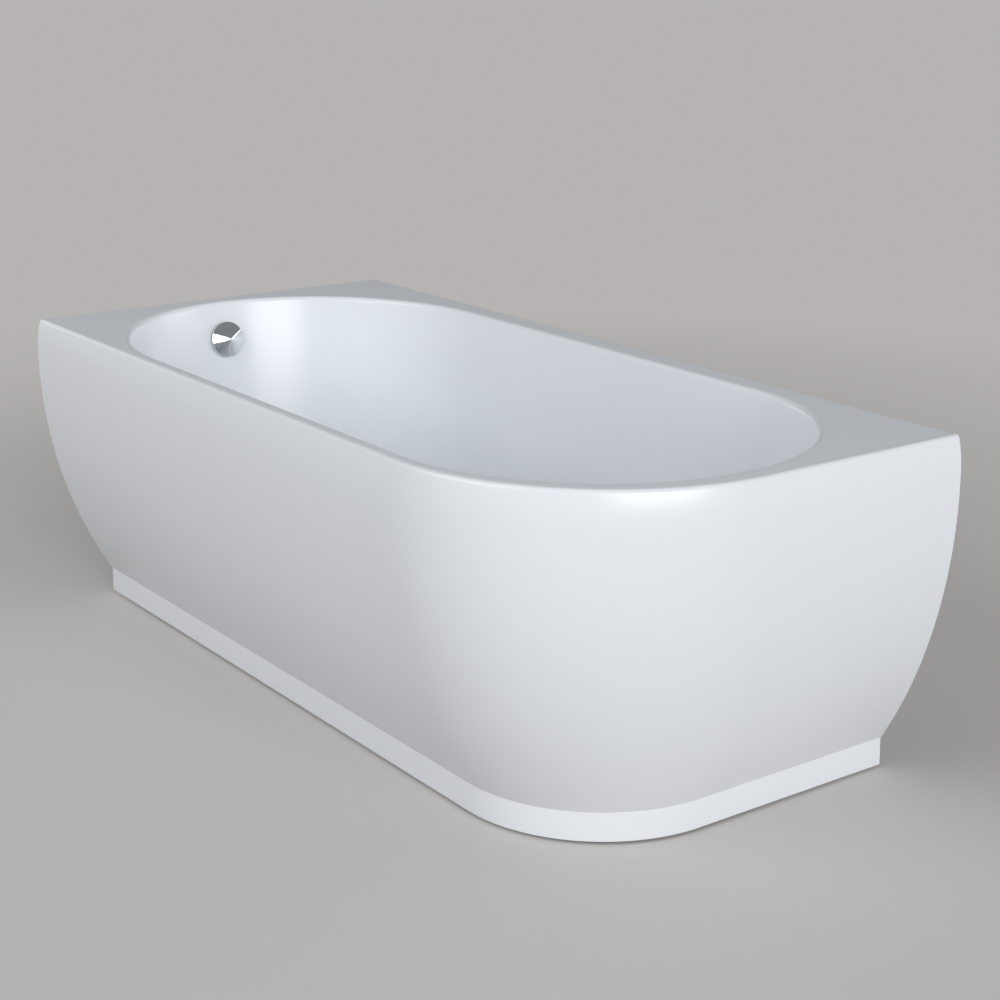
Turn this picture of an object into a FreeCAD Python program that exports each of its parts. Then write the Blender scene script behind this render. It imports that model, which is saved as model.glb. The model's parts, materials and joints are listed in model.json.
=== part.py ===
import FreeCAD, Part
from collections import namedtuple
import math
import os

# Back-to-wall bathtub with one free rounded corner: acrylic basin, apron and plinth on a cradle with feet.
# X runs from the overflow end against a wall (-X) to the free end, the back (+Y) stands against a wall,
# Z is up and the origin lies on the floor under the middle of the tub. Lengths are millimetres.

# Overall size
length = 1700.0
width = 800.0
height = 600.0
corner_radius = 400.0

# Skins and general clearances
acrylic = 6.0
laminate = 5.0
bond_gap = 0.2
clearance = 0.3
overrun = 20.0

# Rim and deck: the lip rolls over the free sides, plain flanges turn down at the walls
rim_front = 26.0
rim_back = 42.0
rim_head = 36.0
rim_end = 42.0
bulge_drop = 57.0
curl_radius = 220.0
lip_roll = 8.0
seam_drop = 30.0
wall_flange_drop = 35.0
rim_overlap = 10.0

# Basin: wall slopes from the vertical in degrees, edge and bottom rounds, length of the oval head end
side_slope = 7.2
head_slope = 11.0
backrest_slope = 25.0
edge_round = 10.0
bottom_round = 110.0
head_oval = 420.0
bottom_steps = 6
edge_steps = 4

# Apron and plinth, inset from the widest line
apron_wall = 5.0
apron_tuck = 143.0
tongue_rise = 20.0
tongue_wall = 4.0
flange_reach = 24.0
return_reach = 20.0
plinth_height = 53.0
plinth_wall = 5.0
plinth_step = 1.0
plinth_floor_gap = 5.0

# Cradle
foot_clear = 87.0
rail_size = 25.0
rail_wall = 2.0
board_thickness = 16.0
board_margin = 12.0
board_hole_gap = 6.0
rail_inside_foot = 60.0
head_rail_from_wall = 130.0
middle_rail_from_wall = 770.0
foot_rail_before_corner = 10.0
rail_overhang = 22.0
cap_depth = 10.0
cap_flange = 2.5
cap_wall_gap = 0.2

# Cradle fasteners
board_screw_radius = 2.5
board_screw_head = 5.0
board_screw_bite = 11.0
board_screw_bay_shares = ((0.55, 0.9), (0.45, 0.84))
screw_head_height = 3.0
rail_bolt_radius = 4.0
rail_bolt_flats = 13.0
rail_bolt_head = 5.5
rail_nut_height = 6.5

# Levelling feet
foot_inside_rail = 28.0
stud_radius = 6.0
stud_above_rail = 20.0
stud_flats = 18.0
stud_nut_height = 10.0
lock_nut_height = 8.0
pad_radius = 25.0
pad_height = 18.0
pad_neck_radius = 12.0
pad_rim_height = 6.0
pad_chamfer = 1.2
pad_socket_depth = 10.0

# Gusset brackets under the apron
bracket_wall = 3.0
bracket_foot_width = 34.0
bracket_reach = 46.0
bracket_screw_radius = 2.5
bracket_screw_head = 4.5
bracket_screw_grip = 5.0
bracket_screw_shares = (0.18, 0.82)
apron_bolt_radius = 3.0
apron_bolt_flats = 10.0
apron_bolt_head = 4.0
apron_bolt_nut = 5.0

# Wall brackets that catch the wall flanges
hook_wall = 2.0
hook_width = 70.0
hook_drop = 46.0
hook_rise = 18.0
hook_hole_radius = 2.75
hook_hole_spacing = 40.0
hook_from_ends = 380.0

# Drain, measured down from the basin floor
drain_from_floor_end = 80.0
drain_hole_radius = 26.0
drain_recess = 2.5
flange_radius = 35.0
neck_radius = 24.0
neck_wall = 3.5
neck_drop = 40.0
spider_drop = 20.0
spider_height = 6.0
spider_arm = 4.0
guide_wall = 2.7
gasket_thickness = 3.0
gasket_radius = 40.0
body_flange = 4.0
body_wall = 3.7
body_drop = 66.0
body_floor = 3.0
tail_radius = 21.0
tail_wall = 2.5
port_drop = 46.0
port_radius = 13.0
port_wall = 2.0
port_reach = 46.0

# Plug and its lift lever
plug_radius = 30.0
plug_dome = 6.5
plug_edge = 1.5
plug_skirt_radius = 16.0
plug_skirt_depth = 6.0
plug_lip = 2.0
plug_lip_height = 1.2
seal_height = 3.6
stem_radius = 4.0
stem_engage = 5.0
chamber_radius = 11.0
chamber_wall = 2.5
chamber_reach = 50.0
lever_arm = 30.0
lever_width = 3.0
lever_height = 4.0
lever_weight_reach = 14.0
lever_weight_width = 6.0
lever_weight_rise = 6.0
lever_weight_drop = 2.5
lever_hub = 4.0
lever_hub_length = 8.0
lever_tail = 6.5
lever_pin_radius = 1.5
lever_lift_gap = 0.4

# Trap and outlet
trap_floor_gap = 16.0
trap_radius = 44.0
trap_span = 70.0
trap_wall = 3.0
trap_round = 10.0
trap_neck_rise = 17.0
trap_nut_wall = 6.0
trap_nut_height = 19.0
trap_ribs = 12
seal_clear = 16.0
outlet_radius = 20.0
outlet_wall = 1.8
outlet_axis_height = 47.0
outlet_socket_wall = 2.6
outlet_socket = 24.0
outlet_entry = 18.0
outlet_nut_wall = 6.0
outlet_nut_height = 20.0
outlet_nut_lip = 4.0
outlet_nut_corner_share = 1.12
outlet_from_wall = 70.0
outlet_bead_from_end = 70.0
outlet_bead_width = 4.0
outlet_bead_rise = 1.5

# Overflow, measured along the normal of the head wall
overflow_drop = 78.0
overflow_hole_radius = 26.0
overflow_seat_radius = 34.0
face_radius = 32.0
face_thickness = 3.0
face_holes = 6
face_hole_radius = 4.5
face_hole_ring = 14.5
face_boss_radius = 8.0
face_boss_rise = 3.0
knob_radius = 37.0
knob_gap = 7.0
knob_edge = 4.0
knob_cone = 12.0
knob_wall = 2.0
knob_hub = 8.0
spindle_radius = 4.0
spindle_cam_radius = 12.0
spindle_cam = 4.0
spindle_cam_depth = 24.0
spindle_in_hub = 8.0
overflow_gasket = 3.0
overflow_cup_radius = 27.0
overflow_cup_wall = 3.0
overflow_cup_depth = 34.0
overflow_cup_flange = 4.0
overflow_screw_ring = 20.5
overflow_screw_radius = 2.0
overflow_screw_head = 3.6
overflow_screw_boss = 1.6
spigot_depth = 33.0
spigot_reach = 54.0

# Ribbed hose, hose nuts and control cable
hose_radius = 14.0
hose_valley = 12.4
hose_bore = 11.0
hose_rib_pitch = 5.0
hose_bend = 118.0
hose_rib_shares = (0.15, 0.35, 0.65, 0.85)
hose_nut_wall = 4.8
hose_nut_height = 18.0
cable_radius = 2.5
cable_offset = 23.0
cable_side_swing = 78.0
cable_rail_gap = 9.0
cable_above_port = 24.0
cable_bend_share = 0.45

# Heights and places that follow
left = -length / 2
right = length / 2
front = -width / 2
back = width / 2
cross_z = foot_clear
long_z = cross_z + rail_size
board_z = long_z + rail_size
laminate_z = board_z + board_thickness
floor_z = laminate_z + laminate + bond_gap + acrylic
depth = height - floor_z
widest_z = height - bulge_drop
seam_z = height - seam_drop
corner_x = right - corner_radius
corner_y = front + corner_radius
basin_half = (width - rim_front - rim_back) / 2
basin_y = front + rim_front + basin_half
mouth_left = left + rim_head
mouth_right = right - rim_end
oval_left = mouth_left + head_oval
oval_right = mouth_right - basin_half
laminate_in = acrylic + bond_gap
laminate_out = laminate_in + laminate
port_z = floor_z - port_drop
body_z = floor_z - body_drop
X_axis = FreeCAD.Vector(1, 0, 0)
Y_axis = FreeCAD.Vector(0, 1, 0)
Z_axis = FreeCAD.Vector(0, 0, 1)
head_rail_x = left + head_rail_from_wall
cross_rail_x = (head_rail_x, left + middle_rail_from_wall, corner_x - foot_rail_before_corner)
flange_inset = apron_tuck + flange_reach
rail_front_y = front + flange_inset + apron_wall
rail_back_y = -rail_front_y
foot_y = (rail_front_y + foot_inside_rail, rail_back_y - foot_inside_rail)
long_rail_y = (foot_y[0] + rail_inside_foot, foot_y[1] - rail_inside_foot)
flange_edge_radius = corner_radius - flange_inset
Bracket = namedtuple("Bracket", "place side low high foot bolt")


def point(x, y, z):
    return FreeCAD.Vector(x, y, z)


def box(low, high):
    size = high.sub(low)
    return Part.makeBox(size.x, size.y, size.z, low)


def rod(radius, start, end):
    along = end.sub(start)
    return Part.makeCylinder(radius, along.Length, start, along)


def upright(radius, x, y, low_z, high_z):
    return rod(radius, point(x, y, low_z), point(x, y, high_z))


def ring(outer, inner, start, end):
    bore = end.sub(start)
    bore.normalize()
    bore.multiply(overrun)
    return rod(outer, start, end).cut(rod(inner, start.sub(bore), end.add(bore)))


def hexagon(flats, start, end):
    """Hexagonal prism with one corner towards X, or towards Z where it lies along X."""
    along = end.sub(start)
    side = Z_axis if abs(along.x) > abs(along.z) else X_axis
    reach = point(side.x, side.y, side.z).multiply(flats / 2 / math.cos(math.pi / 6))
    corners = []
    for corner in range(7):
        turn = FreeCAD.Rotation(along, 60 * corner)
        corners.append(start.add(turn.multVec(reach)))
    return Part.Face(Part.makePolygon(corners)).extrude(along)


def turned(outline, x, y, z):
    """Solid of revolution about Z from (radius, height) corners, set on a foot point."""
    corners = [point(radius, 0, up) for radius, up in outline]
    face = Part.Face(Part.makePolygon(corners + corners[:1]))
    solid = face.revolve(point(0, 0, 0), Z_axis, 360)
    solid.translate(point(x, y, z))
    return solid


def joined(solids):
    return solids[0].multiFuse(solids[1:]).removeSplitter()


def corner_reach(radius, y):
    """X of a circle about the free corner's axis at a given Y, or of its end tangent past the corner."""
    aside = min(y - corner_y, 0)
    return corner_x + math.sqrt(radius ** 2 - aside ** 2)


def rail_end(y):
    return corner_reach(flange_edge_radius - apron_wall, y - rail_size / 2)


# Outline of the free sides, as (inset from the widest line, height)

tuck_rise = widest_z - plinth_height
belly_radius = (tuck_rise ** 2 + apron_tuck ** 2) / (2 * apron_tuck)
roll_z = height - lip_roll
roll_span = curl_radius - lip_roll
roll_inset = curl_radius - math.sqrt(roll_span ** 2 - (roll_z - widest_z) ** 2)
roll_turn = math.atan2(roll_z - widest_z, curl_radius - roll_inset)


def belly_inset(z, skin):
    return belly_radius - math.sqrt((belly_radius - skin) ** 2 - (widest_z - z) ** 2)


def curl_inset(z, skin):
    return curl_radius - math.sqrt((curl_radius - skin) ** 2 - (z - widest_z) ** 2)


def on_roll(radius, turn):
    return roll_inset - radius * math.cos(turn), roll_z + radius * math.sin(turn)


def at_front(spot):
    return point(left, front + spot[0], spot[1])


def line(first, last):
    return Part.LineSegment(at_front(first), at_front(last)).toShape()


def curve(first, middle, last):
    return Part.Arc(at_front(first), at_front(middle), at_front(last)).toShape()


def belly(low_z, high_z, skin):
    middle_z = (low_z + high_z) / 2
    spots = [(belly_inset(z, skin), z) for z in (low_z, middle_z, high_z)]
    return curve(*spots)


def curl(low_z, high_z, skin):
    middle_z = (low_z + high_z) / 2
    spots = [(curl_inset(z, skin), z) for z in (low_z, middle_z, high_z)]
    return curve(*spots)


def polyline(spots):
    return [line(first, last) for first, last in zip(spots, spots[1:])]


def swept(edges):
    """Carries a front profile along the front, round the free corner and along the free end."""
    face = Part.Face(Part.Wire(Part.__sortEdges__(edges)))
    run = face.extrude(point(corner_x - left, 0, 0))
    at_corner = face.translated(point(corner_x - left, 0, 0))
    hub = point(corner_x, corner_y, 0)
    bend = at_corner.revolve(hub, Z_axis, 90)
    at_end = at_corner.rotated(hub, Z_axis, 90)
    end = at_end.extrude(point(0, back - corner_y, 0))
    return joined([run, bend, end])


# Basin surface

def wall_top(slope):
    return edge_round * (1 / math.cos(slope) - math.tan(slope))


def inset_at(down, slope, skin):
    """Inset of a basin wall from the mouth at a depth, moved out by the skin."""
    angle = math.radians(slope)
    wall = wall_top(angle) + down * math.tan(angle) - skin / math.cos(angle)
    edge_end = edge_round * (1 - math.sin(angle))
    if skin == 0 and down < edge_end:
        return math.sqrt(edge_round ** 2 - (edge_round - down) ** 2)
    round_middle = depth - bottom_round
    radius = bottom_round + skin
    if down < round_middle + radius * math.sin(angle):
        return wall
    tangent = bottom_round * math.tan((math.pi / 2 - angle) / 2)
    foot = wall_top(angle) + depth * math.tan(angle) + tangent
    return foot - math.sqrt(max(radius ** 2 - (down - round_middle) ** 2, 0))


def quarter(start, corner, end):
    arc = Part.BezierCurve()
    arc.setPoles([start, corner, end])
    arc.setWeight(2, math.sqrt(0.5))
    return arc.toShape()


def section(down, skin):
    """Closed plan outline of the basin at a depth: straight sides between an oval and a round end."""
    half = basin_half - inset_at(down, side_slope, skin)
    tip_left = mouth_left + inset_at(down, head_slope, skin)
    tip_right = mouth_right - inset_at(down, backrest_slope, skin)
    z = height - down
    low = basin_y - half
    high = basin_y + half

    def spot(x, y):
        return point(x, y, z)

    edges = [
        quarter(spot(oval_right, low), spot(tip_right, low), spot(tip_right, basin_y)),
        quarter(spot(tip_right, basin_y), spot(tip_right, high), spot(oval_right, high)),
        Part.makeLine(spot(oval_right, high), spot(oval_left, high)),
        quarter(spot(oval_left, high), spot(tip_left, high), spot(tip_left, basin_y)),
        quarter(spot(tip_left, basin_y), spot(tip_left, low), spot(oval_left, low)),
        Part.makeLine(spot(oval_left, low), spot(oval_right, low)),
    ]
    return Part.Wire(edges)


def basin_solid(skin, top):
    """Solid bounded by the basin surface moved out by a skin, from a depth down to its floor."""
    bend_top = depth - bottom_round
    radius = bottom_round + skin
    wall = Part.makeLoft([section(top, skin), section(bend_top, skin)], True, True)
    turns = [math.pi / 2 * step / bottom_steps for step in range(bottom_steps + 1)]
    depths = [bend_top + radius * math.sin(turn) for turn in turns]
    foot = Part.makeLoft([section(down, skin) for down in depths], True, False)
    return wall.fuse(foot)


def basin_space():
    """The open inside of the basin with its rounded mouth, carried up past the deck."""
    turns = [math.pi / 2 * step / edge_steps for step in range(edge_steps + 1)]
    downs = [edge_round * (1 - math.cos(turn)) for turn in turns]
    mouth = Part.makeLoft([section(down, 0) for down in downs], True, False)
    above = Part.Face(section(0, 0)).extrude(point(0, 0, overrun))
    return above.multiFuse([mouth, basin_solid(0, edge_round)])


# Flat floor of the basin, and the drain near its head end

floor_left = mouth_left + inset_at(depth, head_slope, 0)
floor_right = mouth_right - inset_at(depth, backrest_slope, 0)
floor_half = basin_half - inset_at(depth, side_slope, 0)
drain_x = floor_left + drain_from_floor_end

# Overflow axis: normal to the head wall at the overflow's height

head_angle = math.radians(head_slope)
overflow_x = mouth_left + inset_at(overflow_drop, head_slope, 0)
overflow_place = FreeCAD.Placement(
    point(overflow_x, basin_y, height - overflow_drop),
    FreeCAD.Rotation(Y_axis, 90 - head_slope),
)


def on_overflow(shape):
    moved = shape.copy()
    moved.Placement = overflow_place.multiply(moved.Placement)
    return moved


def overflow_rod(radius, low, high):
    return on_overflow(upright(radius, 0, 0, low, high))


# Shells

def deck_plate():
    reach = roll_inset
    radius = corner_radius - reach
    corner_turn = math.sqrt(0.5) * radius
    spots = [
        point(left, back, height - acrylic),
        point(left, front + reach, height - acrylic),
        point(corner_x, front + reach, height - acrylic),
        point(corner_x + corner_turn, corner_y - corner_turn, height - acrylic),
        point(right - reach, corner_y, height - acrylic),
        point(right - reach, back, height - acrylic),
    ]
    edges = [
        Part.makeLine(spots[0], spots[1]),
        Part.makeLine(spots[1], spots[2]),
        Part.Arc(spots[2], spots[3], spots[4]).toShape(),
        Part.makeLine(spots[4], spots[5]),
        Part.makeLine(spots[5], spots[0]),
    ]
    return Part.Face(Part.Wire(edges)).extrude(point(0, 0, acrylic))


def rim_lip():
    inner_roll = lip_roll - acrylic
    deck_under = height - acrylic
    half_turn = (roll_turn + math.pi / 2) / 2
    outer_tangent = on_roll(lip_roll, roll_turn)
    inner_tangent = on_roll(inner_roll, roll_turn)
    edges = [
        curl(seam_z, outer_tangent[1], 0),
        curve(outer_tangent, on_roll(lip_roll, half_turn), (roll_inset, height)),
        curve((roll_inset, deck_under), on_roll(inner_roll, half_turn), inner_tangent),
        curl(seam_z, inner_tangent[1], acrylic),
    ]
    edges += polyline([
        (roll_inset, height),
        (roll_inset + rim_overlap, height),
        (roll_inset + rim_overlap, deck_under),
        (roll_inset, deck_under),
    ])
    edges += polyline([(curl_inset(seam_z, acrylic), seam_z), (curl_inset(seam_z, 0), seam_z)])
    return swept(edges)


def wall_flanges():
    low_z = height - wall_flange_drop
    top_z = height - acrylic / 2
    inner = front + roll_inset
    outer = right - roll_inset
    head = box(point(left, inner, low_z), point(left + acrylic, back, top_z))
    rear = box(point(left, back - acrylic, low_z), point(outer, back, top_z))
    return [head, rear]


def drain_cuts():
    seat = upright(flange_radius + clearance, drain_x, basin_y, floor_z - drain_recess, floor_z + overrun)
    hole = upright(drain_hole_radius, drain_x, basin_y, board_z, floor_z + overrun)
    return [seat, hole]


def overflow_cuts():
    seat = overflow_rod(overflow_seat_radius, 0, overrun)
    hole = overflow_rod(overflow_hole_radius, -laminate_out - overrun, overrun)
    return [seat, hole]


def basin_shell():
    solid = joined([deck_plate(), rim_lip()] + wall_flanges() + [basin_solid(acrylic, acrylic / 2)])
    return solid.cut(basin_space()).cut(drain_cuts()[0]).cut(drain_cuts()[1]).cut(overflow_cuts())


def basin_laminate():
    top = wall_flange_drop
    outer = basin_solid(laminate_out, top)
    solid = outer.cut(basin_solid(laminate_in, top - overrun))
    return solid.cut(drain_cuts()[1]).cut(overflow_cuts()[1])


def apron():
    tongue_out = acrylic + bond_gap
    tongue_in = tongue_out + tongue_wall
    tongue_top = seam_z + tongue_rise
    web_z = seam_z - tongue_wall
    step_z = web_z - tongue_wall
    flange_top = plinth_height + apron_wall
    edges = [
        belly(plinth_height, widest_z, 0),
        curl(widest_z, seam_z, 0),
        curl(seam_z, tongue_top, tongue_out),
        curl(web_z, tongue_top, tongue_in),
        curl(widest_z, step_z, apron_wall),
        belly(flange_top, widest_z, apron_wall),
    ]
    edges += polyline([(curl_inset(seam_z, 0), seam_z), (curl_inset(seam_z, tongue_out), seam_z)])
    edges += polyline([(curl_inset(tongue_top, tongue_out), tongue_top),
                       (curl_inset(tongue_top, tongue_in), tongue_top)])
    edges += polyline([(curl_inset(web_z, tongue_in), web_z), (curl_inset(step_z, apron_wall), step_z)])
    edges += polyline([
        (belly_inset(flange_top, apron_wall), flange_top),
        (flange_inset, flange_top),
        (flange_inset, plinth_height),
        (apron_tuck, plinth_height),
    ])
    solid = joined([swept(edges)] + apron_returns())
    flange_low = height - wall_flange_drop - bond_gap
    head_x = left + acrylic + bond_gap
    rear_y = back - acrylic - bond_gap
    kept = roll_inset - bond_gap
    head_room = box(point(left, front, flange_low), point(head_x, front + 2 * tongue_in, height))
    head_room = head_room.cut(box(point(left, front, flange_low), point(head_x, front + kept, seam_z)))
    rear_room = box(point(right - 2 * tongue_in, rear_y, flange_low), point(right, back, height))
    rear_room = rear_room.cut(box(point(right - kept, rear_y, flange_low), point(right, back, seam_z)))
    return solid.cut(head_room).cut(rear_room)


def apron_returns():
    """Inward flanges on the two upright ends that stand against the walls."""
    low_z = plinth_height
    top_z = widest_z
    skin = return_reach
    edges = [belly(low_z, top_z, 0), belly(low_z, top_z, skin)]
    edges += polyline([(belly_inset(low_z, 0), low_z), (belly_inset(low_z, skin), low_z)])
    edges += polyline([(belly_inset(top_z, 0), top_z), (belly_inset(top_z, skin), top_z)])
    face = Part.Face(Part.Wire(Part.__sortEdges__(edges)))
    head = face.extrude(point(apron_wall, 0, 0))
    hub = point(corner_x, corner_y, 0)
    rear = face.translated(point(corner_x - left, 0, 0)).rotated(hub, Z_axis, 90)
    rear.translate(point(0, back - corner_y - apron_wall, 0))
    return [head, rear.extrude(point(0, apron_wall, 0))]


def plinth():
    face = apron_tuck + plinth_step
    inner = face + plinth_wall
    flange_low = plinth_height - plinth_wall
    spots = [
        (face, plinth_floor_gap),
        (face, plinth_height),
        (flange_inset, plinth_height),
        (flange_inset, flange_low),
        (inner, flange_low),
        (inner, plinth_floor_gap),
        (face, plinth_floor_gap),
    ]
    return swept(polyline(spots))


# Cradle

board_left = floor_left + board_margin
board_right = floor_right - board_margin
board_hole_radius = gasket_radius + board_hole_gap
board_screw_x = []
for bay_start, bay_end, bay_shares in zip(cross_rail_x, cross_rail_x[1:], board_screw_bay_shares):
    board_screw_x += [bay_start + (bay_end - bay_start) * share for share in bay_shares]


def upright_edges(solid):
    return [edge for edge in solid.Edges if edge.BoundBox.ZLength > edge.Length / 2]


def base_board():
    half = floor_half - board_margin
    solid = box(point(board_left, basin_y - half, board_z), point(board_right, basin_y + half, laminate_z))
    solid = solid.makeFillet(half / 2, upright_edges(solid))
    hole = upright(board_hole_radius, drain_x, basin_y, board_z - overrun, laminate_z + overrun)
    solid = solid.cut(hole)
    for x in board_screw_x:
        for y in long_rail_y:
            top = board_z + board_screw_bite + clearance
            solid = solid.cut(upright(board_screw_radius + clearance, x, y, board_z - overrun, top))
    return solid


def tube(low, high, along):
    """Square tube from corner to corner, open at both ends along one axis."""
    wall = point(rail_wall, rail_wall, rail_wall)
    past = point(overrun, overrun, overrun)
    inner_low = low.add(wall)
    inner_high = high.sub(wall)
    for axis in ("x", "y", "z"):
        if getattr(along, axis):
            setattr(inner_low, axis, getattr(low.sub(past), axis))
            setattr(inner_high, axis, getattr(high.add(past), axis))
    return box(low, high).cut(box(inner_low, inner_high))


def long_rail(y):
    half = rail_size / 2
    start_x = head_rail_x - rail_overhang
    solid = tube(point(start_x, y - half, long_z), point(rail_end(y), y + half, board_z), X_axis)
    for x in board_screw_x:
        solid = solid.cut(upright(board_screw_radius + clearance, x, y, long_z - overrun, board_z + overrun))
    for x in cross_rail_x:
        hole_top = long_z + rail_wall + clearance
        solid = solid.cut(upright(rail_bolt_radius + clearance, x, y, long_z - overrun, hole_top))
    for x in long_bracket_screw_x(y):
        inside = point(x, y, (long_z + board_z) / 2)
        outside = inside.sub(point(0, rail_size * y / abs(y), 0))
        solid = solid.cut(rod(bracket_screw_radius + clearance, inside, outside))
    return solid


def cross_rail(x):
    half = rail_size / 2
    solid = tube(point(x - half, rail_front_y, cross_z), point(x + half, rail_back_y, long_z), Y_axis)
    for y in foot_y:
        solid = solid.cut(upright(stud_radius + clearance, x, y, cross_z - overrun, long_z + overrun))
    for y in long_rail_y:
        solid = solid.cut(upright(rail_bolt_radius + clearance, x, y, cross_z - overrun, long_z + overrun))
    for y in cross_bracket_screw_y():
        inside = point(x, y, (cross_z + long_z) / 2)
        solid = solid.cut(rod(bracket_screw_radius + clearance, inside, inside.add(point(rail_size, 0, 0))))
    return solid


def end_cap(mouth, outward):
    """Plug for an open tube end: a thin flange outside and a square spigot inside the tube."""

    def block(half, reach):
        across = point(abs(outward.y) * half, abs(outward.x) * half, half)
        along = point(outward.x * reach, outward.y * reach, 0)
        return box_between(mouth.sub(across), mouth.add(across).add(along))

    half = rail_size / 2
    plate = block(half, cap_flange)
    plug = block(half - rail_wall - cap_wall_gap, -cap_depth)
    return plate.fuse(plug).removeSplitter()


def box_between(first, last):
    low = point(min(first.x, last.x), min(first.y, last.y), min(first.z, last.z))
    high = point(max(first.x, last.x), max(first.y, last.y), max(first.z, last.z))
    return box(low, high)


def rail_end_caps():
    caps = []
    for x in cross_rail_x:
        caps.append(end_cap(point(x, rail_back_y, (cross_z + long_z) / 2), Y_axis))
    for y in long_rail_y:
        caps.append(end_cap(point(head_rail_x - rail_overhang, y, (long_z + board_z) / 2), point(-1, 0, 0)))
    return caps


def board_screws():
    screws = []
    for x in board_screw_x:
        for y in long_rail_y:
            head = upright(board_screw_head, x, y, long_z - screw_head_height, long_z)
            shank = upright(board_screw_radius, x, y, long_z, board_z + board_screw_bite)
            screws.append(head.fuse(shank))
    return screws


def rail_bolts():
    bolts = []
    for x in cross_rail_x:
        for y in long_rail_y:
            head = hexagon(rail_bolt_flats, point(x, y, cross_z - rail_bolt_head), point(x, y, cross_z))
            tip_z = long_z + rail_wall + rail_nut_height + rail_bolt_radius / 2
            bolts.append(head.fuse(upright(rail_bolt_radius, x, y, cross_z, tip_z)))
    return bolts


def rail_nuts():
    nuts = []
    for x in cross_rail_x:
        for y in long_rail_y:
            low = point(x, y, long_z + rail_wall)
            high = point(x, y, long_z + rail_wall + rail_nut_height)
            nut = hexagon(rail_bolt_flats, low, high)
            nuts.append(nut.cut(rod(rail_bolt_radius + bond_gap, low, high)))
    return nuts


# Levelling feet

feet_spots = [(x, y) for x in cross_rail_x for y in foot_y]
stud_low = pad_height - pad_socket_depth
lock_z = cross_z - stud_nut_height - lock_nut_height


def nut_on_stud(x, y, low_z, high_z):
    low = point(x, y, low_z)
    high = point(x, y, high_z)
    return hexagon(stud_flats, low, high).cut(rod(stud_radius + clearance, low, high))


def weld_nuts():
    return [nut_on_stud(x, y, cross_z - stud_nut_height, cross_z) for x, y in feet_spots]


def lock_nuts():
    return [nut_on_stud(x, y, lock_z, cross_z - stud_nut_height) for x, y in feet_spots]


def foot_stud(x, y):
    top_z = long_z + stud_above_rail
    shaft = upright(stud_radius, x, y, stud_low, top_z)
    rim = [edge for edge in shaft.Edges if edge.Closed]
    shaft = shaft.makeChamfer(stud_radius / 4, rim)
    collar = hexagon(stud_flats, point(x, y, pad_height), point(x, y, pad_height + lock_nut_height))
    return shaft.fuse(collar)


def foot_pad(x, y):
    socket = stud_radius + bond_gap
    outline = [
        (0, 0),
        (pad_radius - pad_chamfer, 0),
        (pad_radius, pad_chamfer),
        (pad_radius, pad_rim_height),
        (pad_neck_radius, pad_height - pad_chamfer),
        (pad_neck_radius, pad_height),
        (socket, pad_height),
        (socket, stud_low),
        (0, stud_low),
    ]
    return turned(outline, x, y, 0)


# Gusset brackets

bracket_foot_z = plinth_height + apron_wall


def cross_bracket_screw_y():
    return [rail_front_y + bracket_reach * share for share in bracket_screw_shares]


def long_bracket_screw_x(y):
    return [rail_end(y) - bracket_reach * share for share in bracket_screw_shares]


def bracket_list():
    """Each bracket's placement, side, rail faces, and the reach of its foot and bolt past the rail's end."""
    half = rail_size / 2
    brackets = []
    wall_inset = belly_inset(bracket_foot_z, apron_wall)
    for x in cross_rail_x:
        place = FreeCAD.Placement(point(x + half, rail_front_y, 0), FreeCAD.Rotation(Z_axis, -90))
        foot = flange_inset + apron_wall - wall_inset - clearance
        bolt = apron_wall + (flange_inset - wall_inset) / 2
        brackets.append(Bracket(place, 1, cross_z, long_z, foot, bolt))
    wall_radius = corner_radius - wall_inset
    for y in long_rail_y:
        side = -y / abs(y)
        plate_y = y + side * half
        bolt_y = plate_y - side * bracket_foot_width / 2
        place = FreeCAD.Placement(point(rail_end(y), plate_y, 0), FreeCAD.Rotation())
        foot = corner_reach(wall_radius, plate_y) - rail_end(y) - clearance
        bolt_x = (corner_reach(flange_edge_radius, bolt_y) + corner_reach(wall_radius, bolt_y)) / 2
        brackets.append(Bracket(place, side, long_z, board_z, foot, bolt_x - rail_end(y)))
    return brackets


def set_in_place(shape, bracket):
    moved = shape.copy()
    if bracket.side < 0:
        moved = moved.mirror(point(0, 0, 0), Y_axis)
    moved.Placement = bracket.place.multiply(moved.Placement)
    return moved


def bolt_spot(bracket):
    return point(bracket.bolt, -bracket_foot_width / 2, bracket_foot_z)


def bolt_hole(bracket):
    spot = bolt_spot(bracket)
    past = point(0, 0, overrun)
    return set_in_place(rod(apron_bolt_radius + clearance, spot.sub(past), spot.add(past)), bracket)


def gusset(bracket):
    """Bracket made with X along the rail towards the apron, its plate on the +Y face and Z as in the tub."""
    plate_spots = [
        (-bracket_reach, bracket.low),
        (-bracket_reach, bracket.high),
        (0, bracket.high),
        (bracket.foot / 2, bracket_foot_z + rail_size),
        (bracket.foot, bracket_foot_z + bracket_wall),
        (bracket.foot, bracket_foot_z),
        (0, bracket_foot_z),
        (-bracket_reach / 2, bracket.low - bracket_wall),
    ]
    corners = [point(x, 0, z) for x, z in plate_spots]
    plate = Part.Face(Part.makePolygon(corners + corners[:1])).extrude(point(0, bracket_wall, 0))
    foot = box(point(clearance, -bracket_foot_width, bracket_foot_z),
               point(bracket.foot, bracket_wall, bracket_foot_z + bracket_wall))
    solid = plate.fuse(foot).removeSplitter()
    past = point(0, overrun, 0)
    for share in bracket_screw_shares:
        middle = point(-bracket_reach * share, 0, (bracket.low + bracket.high) / 2)
        solid = solid.cut(rod(bracket_screw_radius + clearance, middle.sub(past), middle.add(past)))
    return set_in_place(solid, bracket)


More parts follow.
